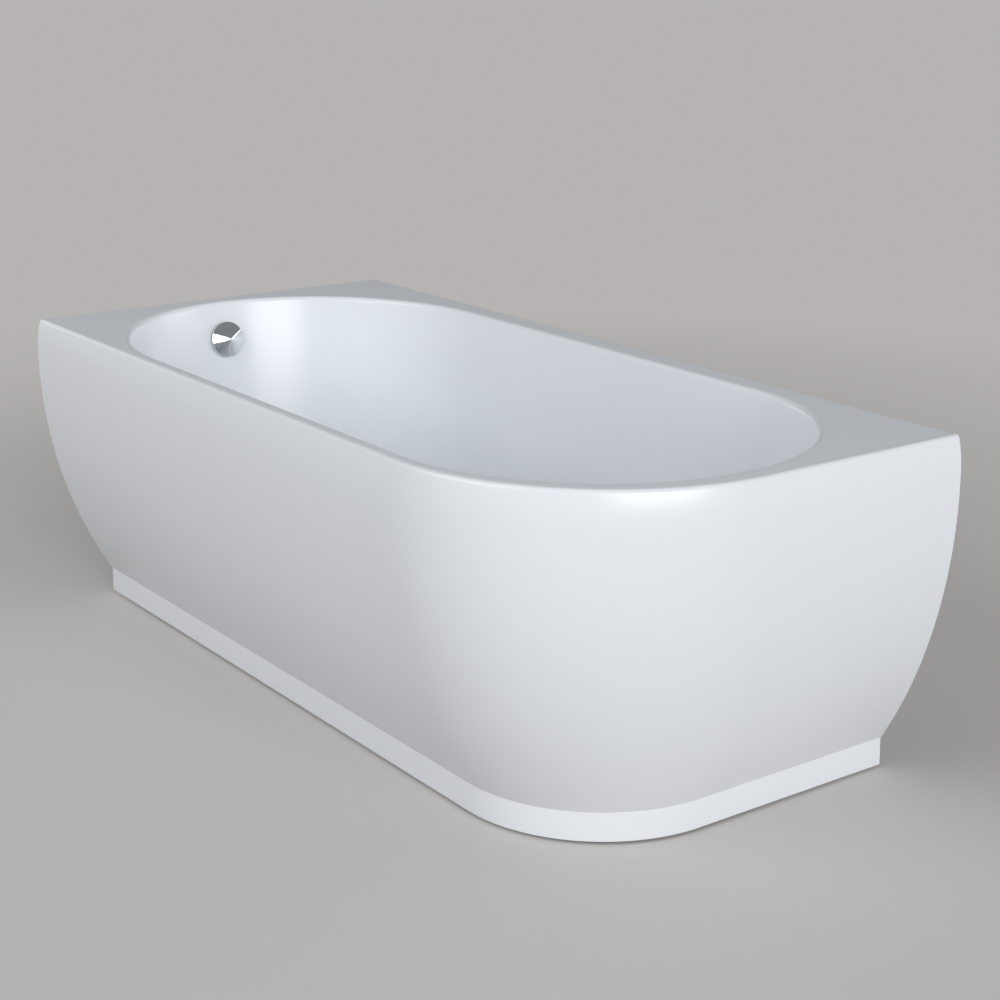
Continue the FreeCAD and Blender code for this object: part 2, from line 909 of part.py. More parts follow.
def apron_brackets():
    """Brackets with the bolt hole, trimmed clear of the apron where it turns the free corner."""
    room_radius = corner_radius - belly_inset(bracket_foot_z, apron_wall) - clearance
    low = point(corner_x, corner_y, 0)
    outside = ring(length, room_radius, low, low.add(point(0, 0, height)))
    past_corner = outside.common(box(low.sub(point(0, width, 0)), low.add(point(width, 0, height))))
    return [gusset(bracket).cut(bolt_hole(bracket)).cut(past_corner) for bracket in bracket_list()]


def bracket_screws():
    screws = []
    for bracket in bracket_list():
        for share in bracket_screw_shares:
            spot = point(-bracket_reach * share, bracket_wall, (bracket.low + bracket.high) / 2)
            head = rod(bracket_screw_head, spot, spot.add(point(0, screw_head_height, 0)))
            tip = spot.sub(point(0, bracket_wall + bracket_screw_grip, 0))
            screws.append(set_in_place(head.fuse(rod(bracket_screw_radius, tip, spot)), bracket))
    return screws


def apron_bolts():
    bolts = []
    for bracket in bracket_list():
        spot = bolt_spot(bracket).add(point(0, 0, bracket_wall))
        head = hexagon(apron_bolt_flats, spot, spot.add(point(0, 0, apron_bolt_head)))
        grip = bracket_wall + apron_wall + plinth_wall + apron_bolt_nut
        bolt = head.fuse(rod(apron_bolt_radius, spot.sub(point(0, 0, grip)), spot))
        bolts.append(set_in_place(bolt, bracket))
    return bolts


def apron_nuts():
    nuts = []
    for bracket in bracket_list():
        top = bolt_spot(bracket).sub(point(0, 0, apron_wall + plinth_wall))
        low = top.sub(point(0, 0, apron_bolt_nut))
        nut = hexagon(apron_bolt_flats, low, top).cut(rod(apron_bolt_radius + bond_gap, low, top))
        nuts.append(set_in_place(nut, bracket))
    return nuts


# Wall brackets

def wall_hook():
    """Hook in a local frame: the wall is the plane Y = 0, the tub lies at -Y, Z is the tub's height."""
    edge_z = height - wall_flange_drop
    half = hook_width / 2
    lip_back = -acrylic - clearance
    ledge_z = edge_z - hook_wall
    plate = box(point(-half, -hook_wall, edge_z - hook_drop), point(half, 0, edge_z))
    ledge = box(point(-half, lip_back - hook_wall, ledge_z), point(half, 0, edge_z))
    lip = box(point(-half, lip_back - hook_wall, ledge_z), point(half, lip_back, edge_z + hook_rise))
    solid = joined([plate, ledge, lip])
    for side in (-1, 1):
        middle = point(side * hook_hole_spacing / 2, 0, edge_z - hook_drop / 2)
        hole = rod(hook_hole_radius, middle.sub(point(0, overrun, 0)), middle.add(point(0, overrun, 0)))
        solid = solid.cut(hole)
    return solid


def wall_brackets():
    hook = wall_hook()
    rear = [hook.translated(point(x, back, 0)) for x in (left + hook_from_ends, right - hook_from_ends)]
    head = hook.rotated(point(0, 0, 0), Z_axis, 90).translated(point(left, back - hook_from_ends, 0))
    return rear + [head]


# Drain

def drain_ring(outer, inner, low_drop, high_drop):
    low = point(drain_x, basin_y, floor_z - low_drop)
    return ring(outer, inner, low, low.add(point(0, 0, low_drop - high_drop)))


neck_bore = neck_radius - neck_wall
guide_bore = stem_radius + clearance
guide_radius = guide_bore + guide_wall
body_bore = neck_radius + clearance
body_radius = body_bore + body_wall
tail_bore = tail_radius - tail_wall
gasket_low_drop = floor_z - laminate_z + gasket_thickness
flange_low_drop = gasket_low_drop + body_flange


def drain_flange():
    plate = drain_ring(flange_radius, neck_bore, drain_recess, 0)
    neck = drain_ring(neck_radius, neck_bore, neck_drop, 0)
    low_drop = spider_drop + spider_height
    hub = drain_ring(guide_radius, guide_bore, low_drop, spider_drop)
    solids = [plate, neck, hub]
    reach = neck_bore + neck_wall / 2
    root = (guide_bore + guide_radius) / 2
    for arm in range(3):
        bar = box(point(drain_x + root, basin_y - spider_arm / 2, floor_z - low_drop),
                  point(drain_x + reach, basin_y + spider_arm / 2, floor_z - spider_drop))
        solids.append(bar.rotated(point(drain_x, basin_y, 0), Z_axis, 120 * arm))
    return joined(solids)


def drain_gasket():
    return drain_ring(gasket_radius, body_bore + gasket_thickness, gasket_low_drop, floor_z - laminate_z)


def drain_body():
    axis = point(drain_x, basin_y, 0)
    flange = drain_ring(gasket_radius, body_bore, flange_low_drop, gasket_low_drop)
    barrel = drain_ring(body_radius, body_bore, body_drop, gasket_low_drop)
    floor = drain_ring(body_radius, tail_bore, body_drop + body_floor, body_drop)
    tail = ring(tail_radius, tail_bore, point(drain_x, basin_y, trap_floor_gap + seal_clear + trap_wall),
                point(drain_x, basin_y, body_z))
    hose_end = axis.add(point(-port_reach, 0, port_z))
    cable_end = axis.add(point(0, -chamber_reach, port_z))
    middle = axis.add(point(0, 0, port_z))
    barrel_core = upright(body_bore, drain_x, basin_y, body_z, floor_z)
    hose_port = rod(port_radius, middle, hose_end)
    chamber = rod(chamber_radius, middle, cable_end)
    solid = joined([flange, barrel, floor, tail, hose_port.cut(barrel_core), chamber.cut(barrel_core)])
    solid = solid.cut(rod(port_radius - port_wall, middle, hose_end.sub(point(overrun, 0, 0))))
    solid = solid.cut(rod(chamber_radius - chamber_wall, middle, cable_end.add(point(0, chamber_wall, 0))))
    solid = solid.cut(rod(cable_radius + bond_gap, middle, cable_end.sub(point(0, overrun, 0))))
    pin_half = point(chamber_radius - chamber_wall / 2, 0, 0)
    pivot = lever_pivot()
    return solid.cut(rod(lever_pin_radius + bond_gap / 2, pivot.sub(pin_half), pivot.add(pin_half)))


def lever_pivot():
    return point(drain_x, basin_y - lever_arm, port_z)


def lift_lever():
    """Rocking lever: the arm under the stem, a tail for the wire and a weight that balances the arm."""
    pivot = lever_pivot()
    half = lever_hub_length / 2
    hub = rod(lever_hub, pivot.sub(point(half, 0, 0)), pivot.add(point(half, 0, 0)))
    arm = box(pivot.sub(point(lever_width / 2, 0, lever_height / 2)),
              pivot.add(point(lever_width / 2, lever_arm, lever_height / 2)))
    tail = box(pivot.sub(point(lever_width / 2, lever_height / 2, lever_tail)),
               pivot.add(point(lever_width / 2, lever_height / 2, 0)))
    weight = box(pivot.sub(point(lever_weight_width / 2, lever_weight_reach, lever_weight_drop)),
                 pivot.add(point(lever_weight_width / 2, 0, lever_weight_rise)))
    past = point(overrun, 0, 0)
    bore = rod(lever_pin_radius + clearance, pivot.sub(past), pivot.add(past))
    return joined([hub, arm, tail, weight]).cut(bore)


def lever_pin():
    pivot = lever_pivot()
    half = chamber_radius - chamber_wall / 2
    return rod(lever_pin_radius, pivot.sub(point(half, 0, 0)), pivot.add(point(half, 0, 0)))


def drain_plug():
    lip = plug_skirt_radius + plug_lip
    stem_bore = stem_radius + bond_gap / 2
    dome = Part.Arc(point(0, 0, plug_dome), point(plug_radius / 2, 0, (3 * plug_dome + plug_edge) / 4),
                    point(plug_radius, 0, plug_edge)).toShape()
    spots = [
        (plug_radius, plug_edge),
        (plug_radius, clearance),
        (plug_skirt_radius, clearance),
        (plug_skirt_radius, -plug_skirt_depth + plug_lip_height),
        (lip, -plug_skirt_depth + plug_lip_height),
        (lip, -plug_skirt_depth),
        (stem_bore, -plug_skirt_depth),
        (stem_bore, stem_engage - plug_skirt_depth),
        (0, stem_engage - plug_skirt_depth),
        (0, plug_dome),
    ]
    corners = [point(radius, 0, up) for radius, up in spots]
    edges = [dome] + [Part.makeLine(first, last) for first, last in zip(corners, corners[1:])]
    solid = Part.Face(Part.Wire(edges)).revolve(point(0, 0, 0), Z_axis, 360)
    solid.translate(point(drain_x, basin_y, floor_z))
    return solid


def plug_seal():
    top = plug_skirt_depth - plug_lip_height - seal_height
    return drain_ring(neck_bore - clearance, plug_skirt_radius + bond_gap / 2, top + seal_height, top)


def plug_stem():
    low_z = port_z + lever_height / 2 + lever_lift_gap
    high_z = floor_z - plug_skirt_depth + stem_engage
    return upright(stem_radius, drain_x, basin_y, low_z, high_z)


# Trap and outlet

def oval_prism(radius, low_z, high_z):
    far_y = basin_y + trap_span
    ends = [upright(radius, drain_x, y, low_z, high_z) for y in (basin_y, far_y)]
    middle = box(point(drain_x - radius, basin_y, low_z), point(drain_x + radius, far_y, high_z))
    return joined(ends + [middle])


trap_neck_radius = body_radius
trap_top = body_z - body_floor - trap_neck_rise
outlet_start = basin_y + trap_span + trap_radius


def trap_body():
    case = oval_prism(trap_radius, trap_floor_gap, trap_top)
    low_edges = [edge for edge in case.Edges if edge.BoundBox.ZMax < trap_floor_gap + bond_gap]
    case = case.makeFillet(trap_round, low_edges)
    hollow = oval_prism(trap_radius - trap_wall, trap_floor_gap + trap_wall, trap_top - trap_wall)
    low_edges = [edge for edge in hollow.Edges if edge.BoundBox.ZMax < trap_floor_gap + trap_wall + bond_gap]
    hollow = hollow.makeFillet(trap_round - trap_wall, low_edges)
    neck_z = body_z - body_floor
    neck = upright(trap_neck_radius, drain_x, basin_y, trap_top - trap_wall, neck_z)
    mouth = upright(tail_radius + clearance, drain_x, basin_y, trap_top - overrun, neck_z + overrun)
    socket_out = outlet_radius + clearance + outlet_socket_wall
    outlet_near = point(drain_x, basin_y + trap_span, outlet_axis_height)
    outlet_far = point(drain_x, outlet_start + outlet_socket, outlet_axis_height)
    socket = rod(socket_out, outlet_near, outlet_far)
    socket_bore = rod(outlet_radius + clearance, outlet_near, outlet_far.add(point(0, overrun, 0)))
    solid = joined([case, neck, socket]).cut(hollow).cut(mouth).cut(socket_bore)
    wide = trap_radius - trap_wall / 2
    baffle_y = basin_y + tail_radius + trap_wall
    weir_y = baffle_y + seal_clear + trap_wall
    baffle = box(point(drain_x - wide, baffle_y, trap_floor_gap + trap_wall + seal_clear),
                 point(drain_x + wide, baffle_y + trap_wall, trap_top - trap_wall / 2))
    weir = box(point(drain_x - wide, weir_y, trap_floor_gap + trap_wall / 2),
               point(drain_x + wide, weir_y + trap_wall, trap_top - trap_wall - seal_clear / 2))
    weir = weir.common(case)
    return joined([solid, baffle, weir])


def trap_nut():
    low = point(drain_x, basin_y, trap_top + bond_gap)
    high = low.add(point(0, 0, trap_nut_height))
    inner = trap_neck_radius + clearance
    outer = inner + trap_nut_wall
    solid = ring(outer - trap_nut_wall / 3, inner, low, high)
    rib_half = outer * math.sin(math.pi / trap_ribs) / 2
    ribs = []
    for rib in range(trap_ribs):
        bar = box(point(inner + trap_nut_wall / 3, -rib_half, 0), point(outer, rib_half, trap_nut_height))
        bar.rotate(point(0, 0, 0), Z_axis, 360 * rib / trap_ribs)
        ribs.append(bar.translated(low))
    return joined([solid] + ribs)


def outlet_nut():
    socket_out = outlet_radius + clearance + outlet_socket_wall
    bore = socket_out + clearance
    far_y = outlet_start + outlet_socket + clearance + outlet_nut_lip
    far = point(drain_x, far_y, outlet_axis_height)
    near = far.sub(point(0, outlet_nut_height, 0))
    solid = hexagon(2 * (bore + outlet_nut_wall), near, far)
    solid = solid.common(rod(bore + outlet_nut_wall * outlet_nut_corner_share, near, far))
    solid = solid.cut(rod(bore, near, far.sub(point(0, outlet_nut_lip, 0))))
    return solid.cut(rod(outlet_radius + clearance, near, far))


def outlet_pipe():
    """Waste pipe with a stop bead that leaves a plain spigot for a push-fit socket."""
    near = point(drain_x, outlet_start + outlet_socket - outlet_entry, outlet_axis_height)
    far = point(drain_x, back - outlet_from_wall, outlet_axis_height)
    bore = outlet_radius - outlet_wall
    bead_far = far.sub(point(0, outlet_bead_from_end, 0))
    bead_near = bead_far.sub(point(0, outlet_bead_width, 0))
    bead = ring(outlet_radius + outlet_bead_rise, bore, bead_near, bead_far)
    return joined([ring(outlet_radius, bore, near, far), bead])


# Overflow

cup_mouth = -laminate_out - overflow_gasket
cup_floor = cup_mouth - overflow_cup_depth
cup_bore = overflow_cup_radius - overflow_cup_wall
knob_top = knob_gap + knob_edge + knob_cone


def overflow_face():
    outline = [
        (spindle_radius + clearance, 0),
        (face_radius, 0),
        (face_radius, face_thickness / 2),
        (face_radius - face_thickness / 2, face_thickness),
        (face_boss_radius, face_thickness),
        (face_boss_radius, face_thickness + face_boss_rise),
        (spindle_radius + clearance, face_thickness + face_boss_rise),
    ]
    solid = turned(outline, 0, 0, 0)
    past = point(0, 0, overrun)
    for hole in range(face_holes):
        turn = FreeCAD.Rotation(Z_axis, 360 * hole / face_holes)
        spot = turn.multVec(point(face_hole_ring, 0, 0))
        solid = solid.cut(rod(face_hole_radius, spot.sub(past), spot.add(past)))
    for spot in overflow_screw_spots():
        solid = solid.cut(rod(overflow_screw_radius + clearance, spot.sub(past), spot.add(past)))
    return on_overflow(solid)


def overflow_screw_spots():
    return [point(0, side * overflow_screw_ring, 0) for side in (-1, 1)]


def overflow_screws():
    screws = []
    for spot in overflow_screw_spots():
        under_head = spot.add(point(0, 0, face_thickness))
        head = rod(overflow_screw_head, under_head, under_head.add(point(0, 0, screw_head_height / 2)))
        tip = spot.add(point(0, 0, cup_mouth - overflow_cup_flange))
        screws.append(on_overflow(head.fuse(rod(overflow_screw_radius, tip, under_head))))
    return screws


def overflow_seal():
    solid = overflow_rod(overflow_seat_radius, cup_mouth, -laminate_in)
    solid = solid.cut(overflow_rod(overflow_hole_radius, cup_mouth - overrun, overrun))
    return solid.cut(basin_solid(laminate_out, acrylic))


def overflow_body():
    outline = [
        (0, cup_floor - overflow_cup_wall),
        (overflow_cup_radius - overflow_cup_wall, cup_floor - overflow_cup_wall),
        (overflow_cup_radius, cup_floor),
        (overflow_cup_radius, cup_mouth - overflow_cup_flange),
        (overflow_seat_radius, cup_mouth - overflow_cup_flange),
        (overflow_seat_radius, cup_mouth),
        (cup_bore, cup_mouth),
        (cup_bore, cup_floor),
        (0, cup_floor),
    ]
    cup = turned(outline, 0, 0, 0)
    core = upright(cup_bore, 0, 0, cup_floor, cup_mouth)
    near = point(0, 0, -spigot_depth)
    far = point(spigot_reach, 0, -spigot_depth)
    spigot = rod(port_radius, near, far).cut(core)
    bosses = []
    boss_radius = overflow_screw_radius + bond_gap + overflow_screw_boss
    for spot in overflow_screw_spots():
        boss_top = spot.add(point(0, 0, cup_mouth))
        bosses.append(rod(boss_radius, boss_top.sub(point(0, 0, overflow_cup_flange)), boss_top))
    cable_end = cable_start_local()
    lug_half = point(0, 2 * cable_radius, 2 * cable_radius)
    lug = box(point(0, cable_end.y, cable_end.z).sub(lug_half), cable_end.add(lug_half)).cut(core)
    solid = joined([cup, spigot, lug] + bosses)
    solid = solid.cut(rod(port_radius - port_wall, near, far.add(point(overrun, 0, 0))))
    for spot in overflow_screw_spots():
        tap = rod(overflow_screw_radius + bond_gap / 2, spot.add(point(0, 0, cup_floor)), spot)
        solid = solid.cut(tap)
    wire_hole = rod(cable_radius / 2, cable_end.sub(point(overflow_cup_radius, 0, 0)), cable_end)
    return on_overflow(solid.cut(wire_hole))


def overflow_knob():
    rim = knob_gap + knob_edge
    inner_rim = knob_radius - knob_wall
    slope = knob_cone / knob_radius
    inner_top = knob_top - knob_wall * 2
    hub_z = inner_top - slope * knob_hub
    spots = [
        (0, knob_top),
        (knob_radius, rim),
        (knob_radius, knob_gap),
        (inner_rim, knob_gap),
        (inner_rim, inner_top - slope * inner_rim),
        (knob_hub, hub_z),
        (knob_hub, hub_z - spindle_in_hub),
        (spindle_radius + bond_gap / 2, hub_z - spindle_in_hub),
        (spindle_radius + bond_gap / 2, hub_z),
        (0, hub_z),
    ]
    return on_overflow(turned(spots, 0, 0, 0))


def overflow_spindle():
    slope = knob_cone / knob_radius
    top = knob_top - knob_wall * 2 - slope * knob_hub
    low = cup_mouth - spindle_cam_depth
    shaft = upright(spindle_radius, 0, 0, low, top)
    cam = upright(spindle_cam_radius, 0, 0, low, low + spindle_cam)
    notch = upright(spindle_radius, spindle_cam_radius, 0, low - overrun, cup_mouth)
    return on_overflow(joined([shaft, cam]).cut(notch))


# Hose and cable

def to_world(spot):
    return overflow_place.multVec(spot)


def rounded_path(spots, bends):
    """Straight runs joined by tangent arcs of the given radii, one for each inner corner."""
    edges = []
    start = spots[0]
    for corner, after, radius in zip(spots[1:-1], spots[2:], bends):
        arrive = corner.sub(start).normalize()
        leave = after.sub(corner).normalize()
        half_turn = arrive.getAngle(leave) / 2
        tangent = radius * math.tan(half_turn)
        first = corner.sub(point(arrive.x, arrive.y, arrive.z).multiply(tangent))
        last = corner.add(point(leave.x, leave.y, leave.z).multiply(tangent))
        inward = leave.sub(arrive).normalize()
        reach = radius / math.cos(half_turn) - radius
        middle = corner.add(inward.multiply(reach))
        edges.append(Part.makeLine(start, first))
        edges.append(Part.Arc(first, middle, last).toShape())
        start = last
    edges.append(Part.makeLine(start, spots[-1]))
    return Part.Wire(edges)


def tube_along(path, radius):
    start = path.Edges[0].valueAt(path.Edges[0].FirstParameter)
    along = path.Edges[0].tangentAt(path.Edges[0].FirstParameter)
    profile = Part.Wire(Part.Circle(start, along, radius).toShape())
    return path.makePipeShell([profile], True, False)


def hose_path():
    start = to_world(point(spigot_reach, 0, -spigot_depth))
    down = to_world(point(2 * spigot_reach, 0, -spigot_depth)).sub(start)
    end = point(drain_x - port_reach, basin_y, port_z)
    share = (start.z - end.z) / -down.z
    corner = start.add(down.multiply(share))
    return rounded_path([start, corner, end], [hose_bend])


def overflow_hose():
    """Ribbed hose: straight cuffs, ribs along the whole route, and a plain bore."""
    path = hose_path()
    runs = [(edge, edge.Length) for edge in path.Edges]
    total = sum(size for edge, size in runs)
    ribs = int((total - 4 * hose_radius) / hose_rib_pitch)
    lead = (total - ribs * hose_rib_pitch) / 2
    stations = [(0, hose_valley)]
    for rib in range(ribs):
        radii = (hose_valley, hose_radius, hose_radius, hose_valley)
        for share, radius in zip(hose_rib_shares, radii):
            stations.append((lead + (rib + share) * hose_rib_pitch, radius))
    stations.append((total, hose_valley))
    circles = []
    for along, radius in stations:
        rest = along
        for edge, size in runs:
            if rest <= size or edge is runs[-1][0]:
                break
            rest -= size
        value = edge.getParameterByLength(min(rest, size))
        middle = edge.valueAt(value)
        circle = Part.Circle(middle, edge.tangentAt(value), radius)
        circle.XAxis = Y_axis
        circles.append(Part.Wire(circle.toShape()))
    solid = Part.makeLoft(circles, True, True)
    return solid.cut(tube_along(path, hose_bore))


def hose_nut(end, inward):
    low = end.sub(point(inward.x, inward.y, inward.z).multiply(hose_nut_height / 2))
    high = end.add(point(inward.x, inward.y, inward.z).multiply(hose_nut_height / 2))
    bore = port_radius + clearance
    return ring(bore + hose_nut_wall, bore, low, high)


def hose_nuts():
    start = to_world(point(spigot_reach, 0, -spigot_depth))
    along = to_world(point(2 * spigot_reach, 0, -spigot_depth)).sub(start).normalize()
    end = point(drain_x - port_reach, basin_y, port_z)
    return [hose_nut(start, along), hose_nut(end, point(-1, 0, 0))]


def cable_start_local():
    return point(overflow_cup_radius + 2 * cable_radius, -cable_offset, -spigot_depth)


def control_cable():
    start = to_world(cable_start_local())
    down = to_world(cable_start_local().add(point(overrun, 0, 0))).sub(start).normalize()
    end = point(drain_x, basin_y - chamber_reach + chamber_wall, port_z)
    turn_z = port_z + cable_above_port
    corner = start.add(point(down.x, down.y, down.z).multiply((start.z - turn_z) / -down.z))
    swing_y = long_rail_y[0] + rail_size / 2 + cable_rail_gap + cable_radius
    spots = [
        start,
        corner,
        point(drain_x - cable_side_swing, swing_y, port_z),
        point(drain_x, swing_y, port_z),
        end,
    ]
    bends = []
    for before, here, after in zip(spots, spots[1:], spots[2:]):
        arrive = here.sub(before)
        leave = after.sub(here)
        half_turn = arrive.getAngle(leave) / 2
        bends.append(cable_bend_share * min(arrive.Length, leave.Length) / math.tan(half_turn))
    return tube_along(rounded_path(spots, bends), cable_radius)


def write(name, solids):
    shape = solids[0] if len(solids) == 1 else Part.makeCompound(solids)
    for solid in shape.Solids:
        if not solid.isValid():
            print("not valid:", name)
    if len(shape.Solids) != len(solids):
        print("solid count of", name, "is", len(shape.Solids), "for", len(solids))
    shape.exportStep(os.path.join("parts", name + ".step"))


def drilled(solid, holes):
    for hole in holes:
        solid = solid.cut(hole)
    return solid


def main():
    os.makedirs("parts", exist_ok=True)
    holes = [bolt_hole(bracket) for bracket in bracket_list()]
    singles = {
        "basin_shell": basin_shell(),
        "basin_laminate": basin_laminate(),
        "apron": drilled(apron(), holes),
        "plinth": drilled(plinth(), holes),
        "base_board": base_board(),
        "frame_rail_front": long_rail(long_rail_y[0]),
        "frame_rail_back": long_rail(long_rail_y[1]),
        "cross_rail_head": cross_rail(cross_rail_x[0]),
        "cross_rail_middle": cross_rail(cross_rail_x[1]),
        "cross_rail_foot": cross_rail(cross_rail_x[2]),
        "drain_flange": drain_flange(),
        "drain_gasket": drain_gasket(),
        "drain_body": drain_body(),
        "drain_plug": drain_plug(),
        "plug_seal": plug_seal(),
        "plug_stem": plug_stem(),
        "lift_lever": lift_lever(),
        "lever_pin": lever_pin(),
        "trap_body": trap_body(),
        "trap_nut": trap_nut(),
        "outlet_nut": outlet_nut(),
        "outlet_pipe": outlet_pipe(),
        "overflow_flange": overflow_face(),
        "overflow_gasket": overflow_seal(),
        "overflow_body": overflow_body(),
        "overflow_knob": overflow_knob(),
        "overflow_spindle": overflow_spindle(),
        "overflow_hose": overflow_hose(),
        "control_cable": control_cable(),
    }
    groups = {
        "rail_end_caps": rail_end_caps(),
        "board_screws": board_screws(),
        "rail_bolts": rail_bolts(),
        "rail_nuts": rail_nuts(),
        "foot_nuts": weld_nuts() + lock_nuts(),
        "hose_nuts": hose_nuts(),
        "bracket_screws": bracket_screws(),
        "apron_bolts": apron_bolts(),
        "apron_nuts": apron_nuts(),
        "overflow_screws": overflow_screws(),
    }
    for number, solid in enumerate(apron_brackets(), 1):
        singles["apron_bracket_%d" % number] = solid
    for number, solid in enumerate(wall_brackets(), 1):
        singles["wall_bracket_%d" % number] = solid
    for number, (x, y) in enumerate(feet_spots, 1):
        singles["foot_stud_%d" % number] = foot_stud(x, y)
        singles["foot_pad_%d" % number] = foot_pad(x, y)
    for name, solid in singles.items():
        write(name, [solid])
    for name, solids in groups.items():
        write(name, solids)
    print("nodes", len(singles) + len(groups))


main()
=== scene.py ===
import json
import math

import bmesh
import bpy
from bpy.props import FloatProperty, FloatVectorProperty, IntProperty, PointerProperty
from mathutils import Matrix, Vector


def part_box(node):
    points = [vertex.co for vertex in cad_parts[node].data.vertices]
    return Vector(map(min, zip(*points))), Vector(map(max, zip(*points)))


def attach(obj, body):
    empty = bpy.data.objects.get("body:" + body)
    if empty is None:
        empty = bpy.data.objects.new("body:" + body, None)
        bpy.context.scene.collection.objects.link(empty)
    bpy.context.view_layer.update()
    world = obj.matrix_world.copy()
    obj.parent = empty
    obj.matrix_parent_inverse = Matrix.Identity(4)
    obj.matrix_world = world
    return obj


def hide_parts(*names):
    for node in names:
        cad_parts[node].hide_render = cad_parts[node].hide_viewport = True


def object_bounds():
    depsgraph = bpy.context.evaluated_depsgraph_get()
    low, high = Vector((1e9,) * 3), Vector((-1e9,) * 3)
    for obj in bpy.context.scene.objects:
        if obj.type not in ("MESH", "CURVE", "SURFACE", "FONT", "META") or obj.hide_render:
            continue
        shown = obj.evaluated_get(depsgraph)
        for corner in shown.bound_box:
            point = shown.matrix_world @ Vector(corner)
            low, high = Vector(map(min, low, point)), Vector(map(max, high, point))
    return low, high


bl_info = {
    "name": "Corner bathtub",
    "version": (1, 0, 0),
    "blender": (4, 5, 0),
    "location": "View3D > Sidebar > Bathtub",
    "description": "Dresses a bathtub with one rounded free corner, its cradle, waste and overflow",
    "category": "Object",
}

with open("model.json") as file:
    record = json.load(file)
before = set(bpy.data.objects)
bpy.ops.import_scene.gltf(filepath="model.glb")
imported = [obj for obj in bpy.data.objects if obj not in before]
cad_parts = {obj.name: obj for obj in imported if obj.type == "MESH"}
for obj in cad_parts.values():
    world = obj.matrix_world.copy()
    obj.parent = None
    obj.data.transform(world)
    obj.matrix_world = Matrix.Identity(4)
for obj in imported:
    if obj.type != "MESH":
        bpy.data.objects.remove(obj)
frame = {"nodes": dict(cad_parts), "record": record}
cad_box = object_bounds()
slot_of_node = {row["node"]: row["material_slot"] for row in frame["record"]["subparts"]}

# Values that all pieces share
merge_distance = 1e-6
usual_crease = 30
sheet_crease = 32
sharp_angle = math.radians(40)
flat_angle = math.radians(0.5)
hole_steps = 48
hex_edge = 0.0004
foot_numbers = range(1, 7)
quarter_turn = math.pi / 2
full_turn = 2 * math.pi
along_x = (1, 0, 0)
along_y = (0, 1, 0)
along_z = (0, 0, 1)


# Values a user may change

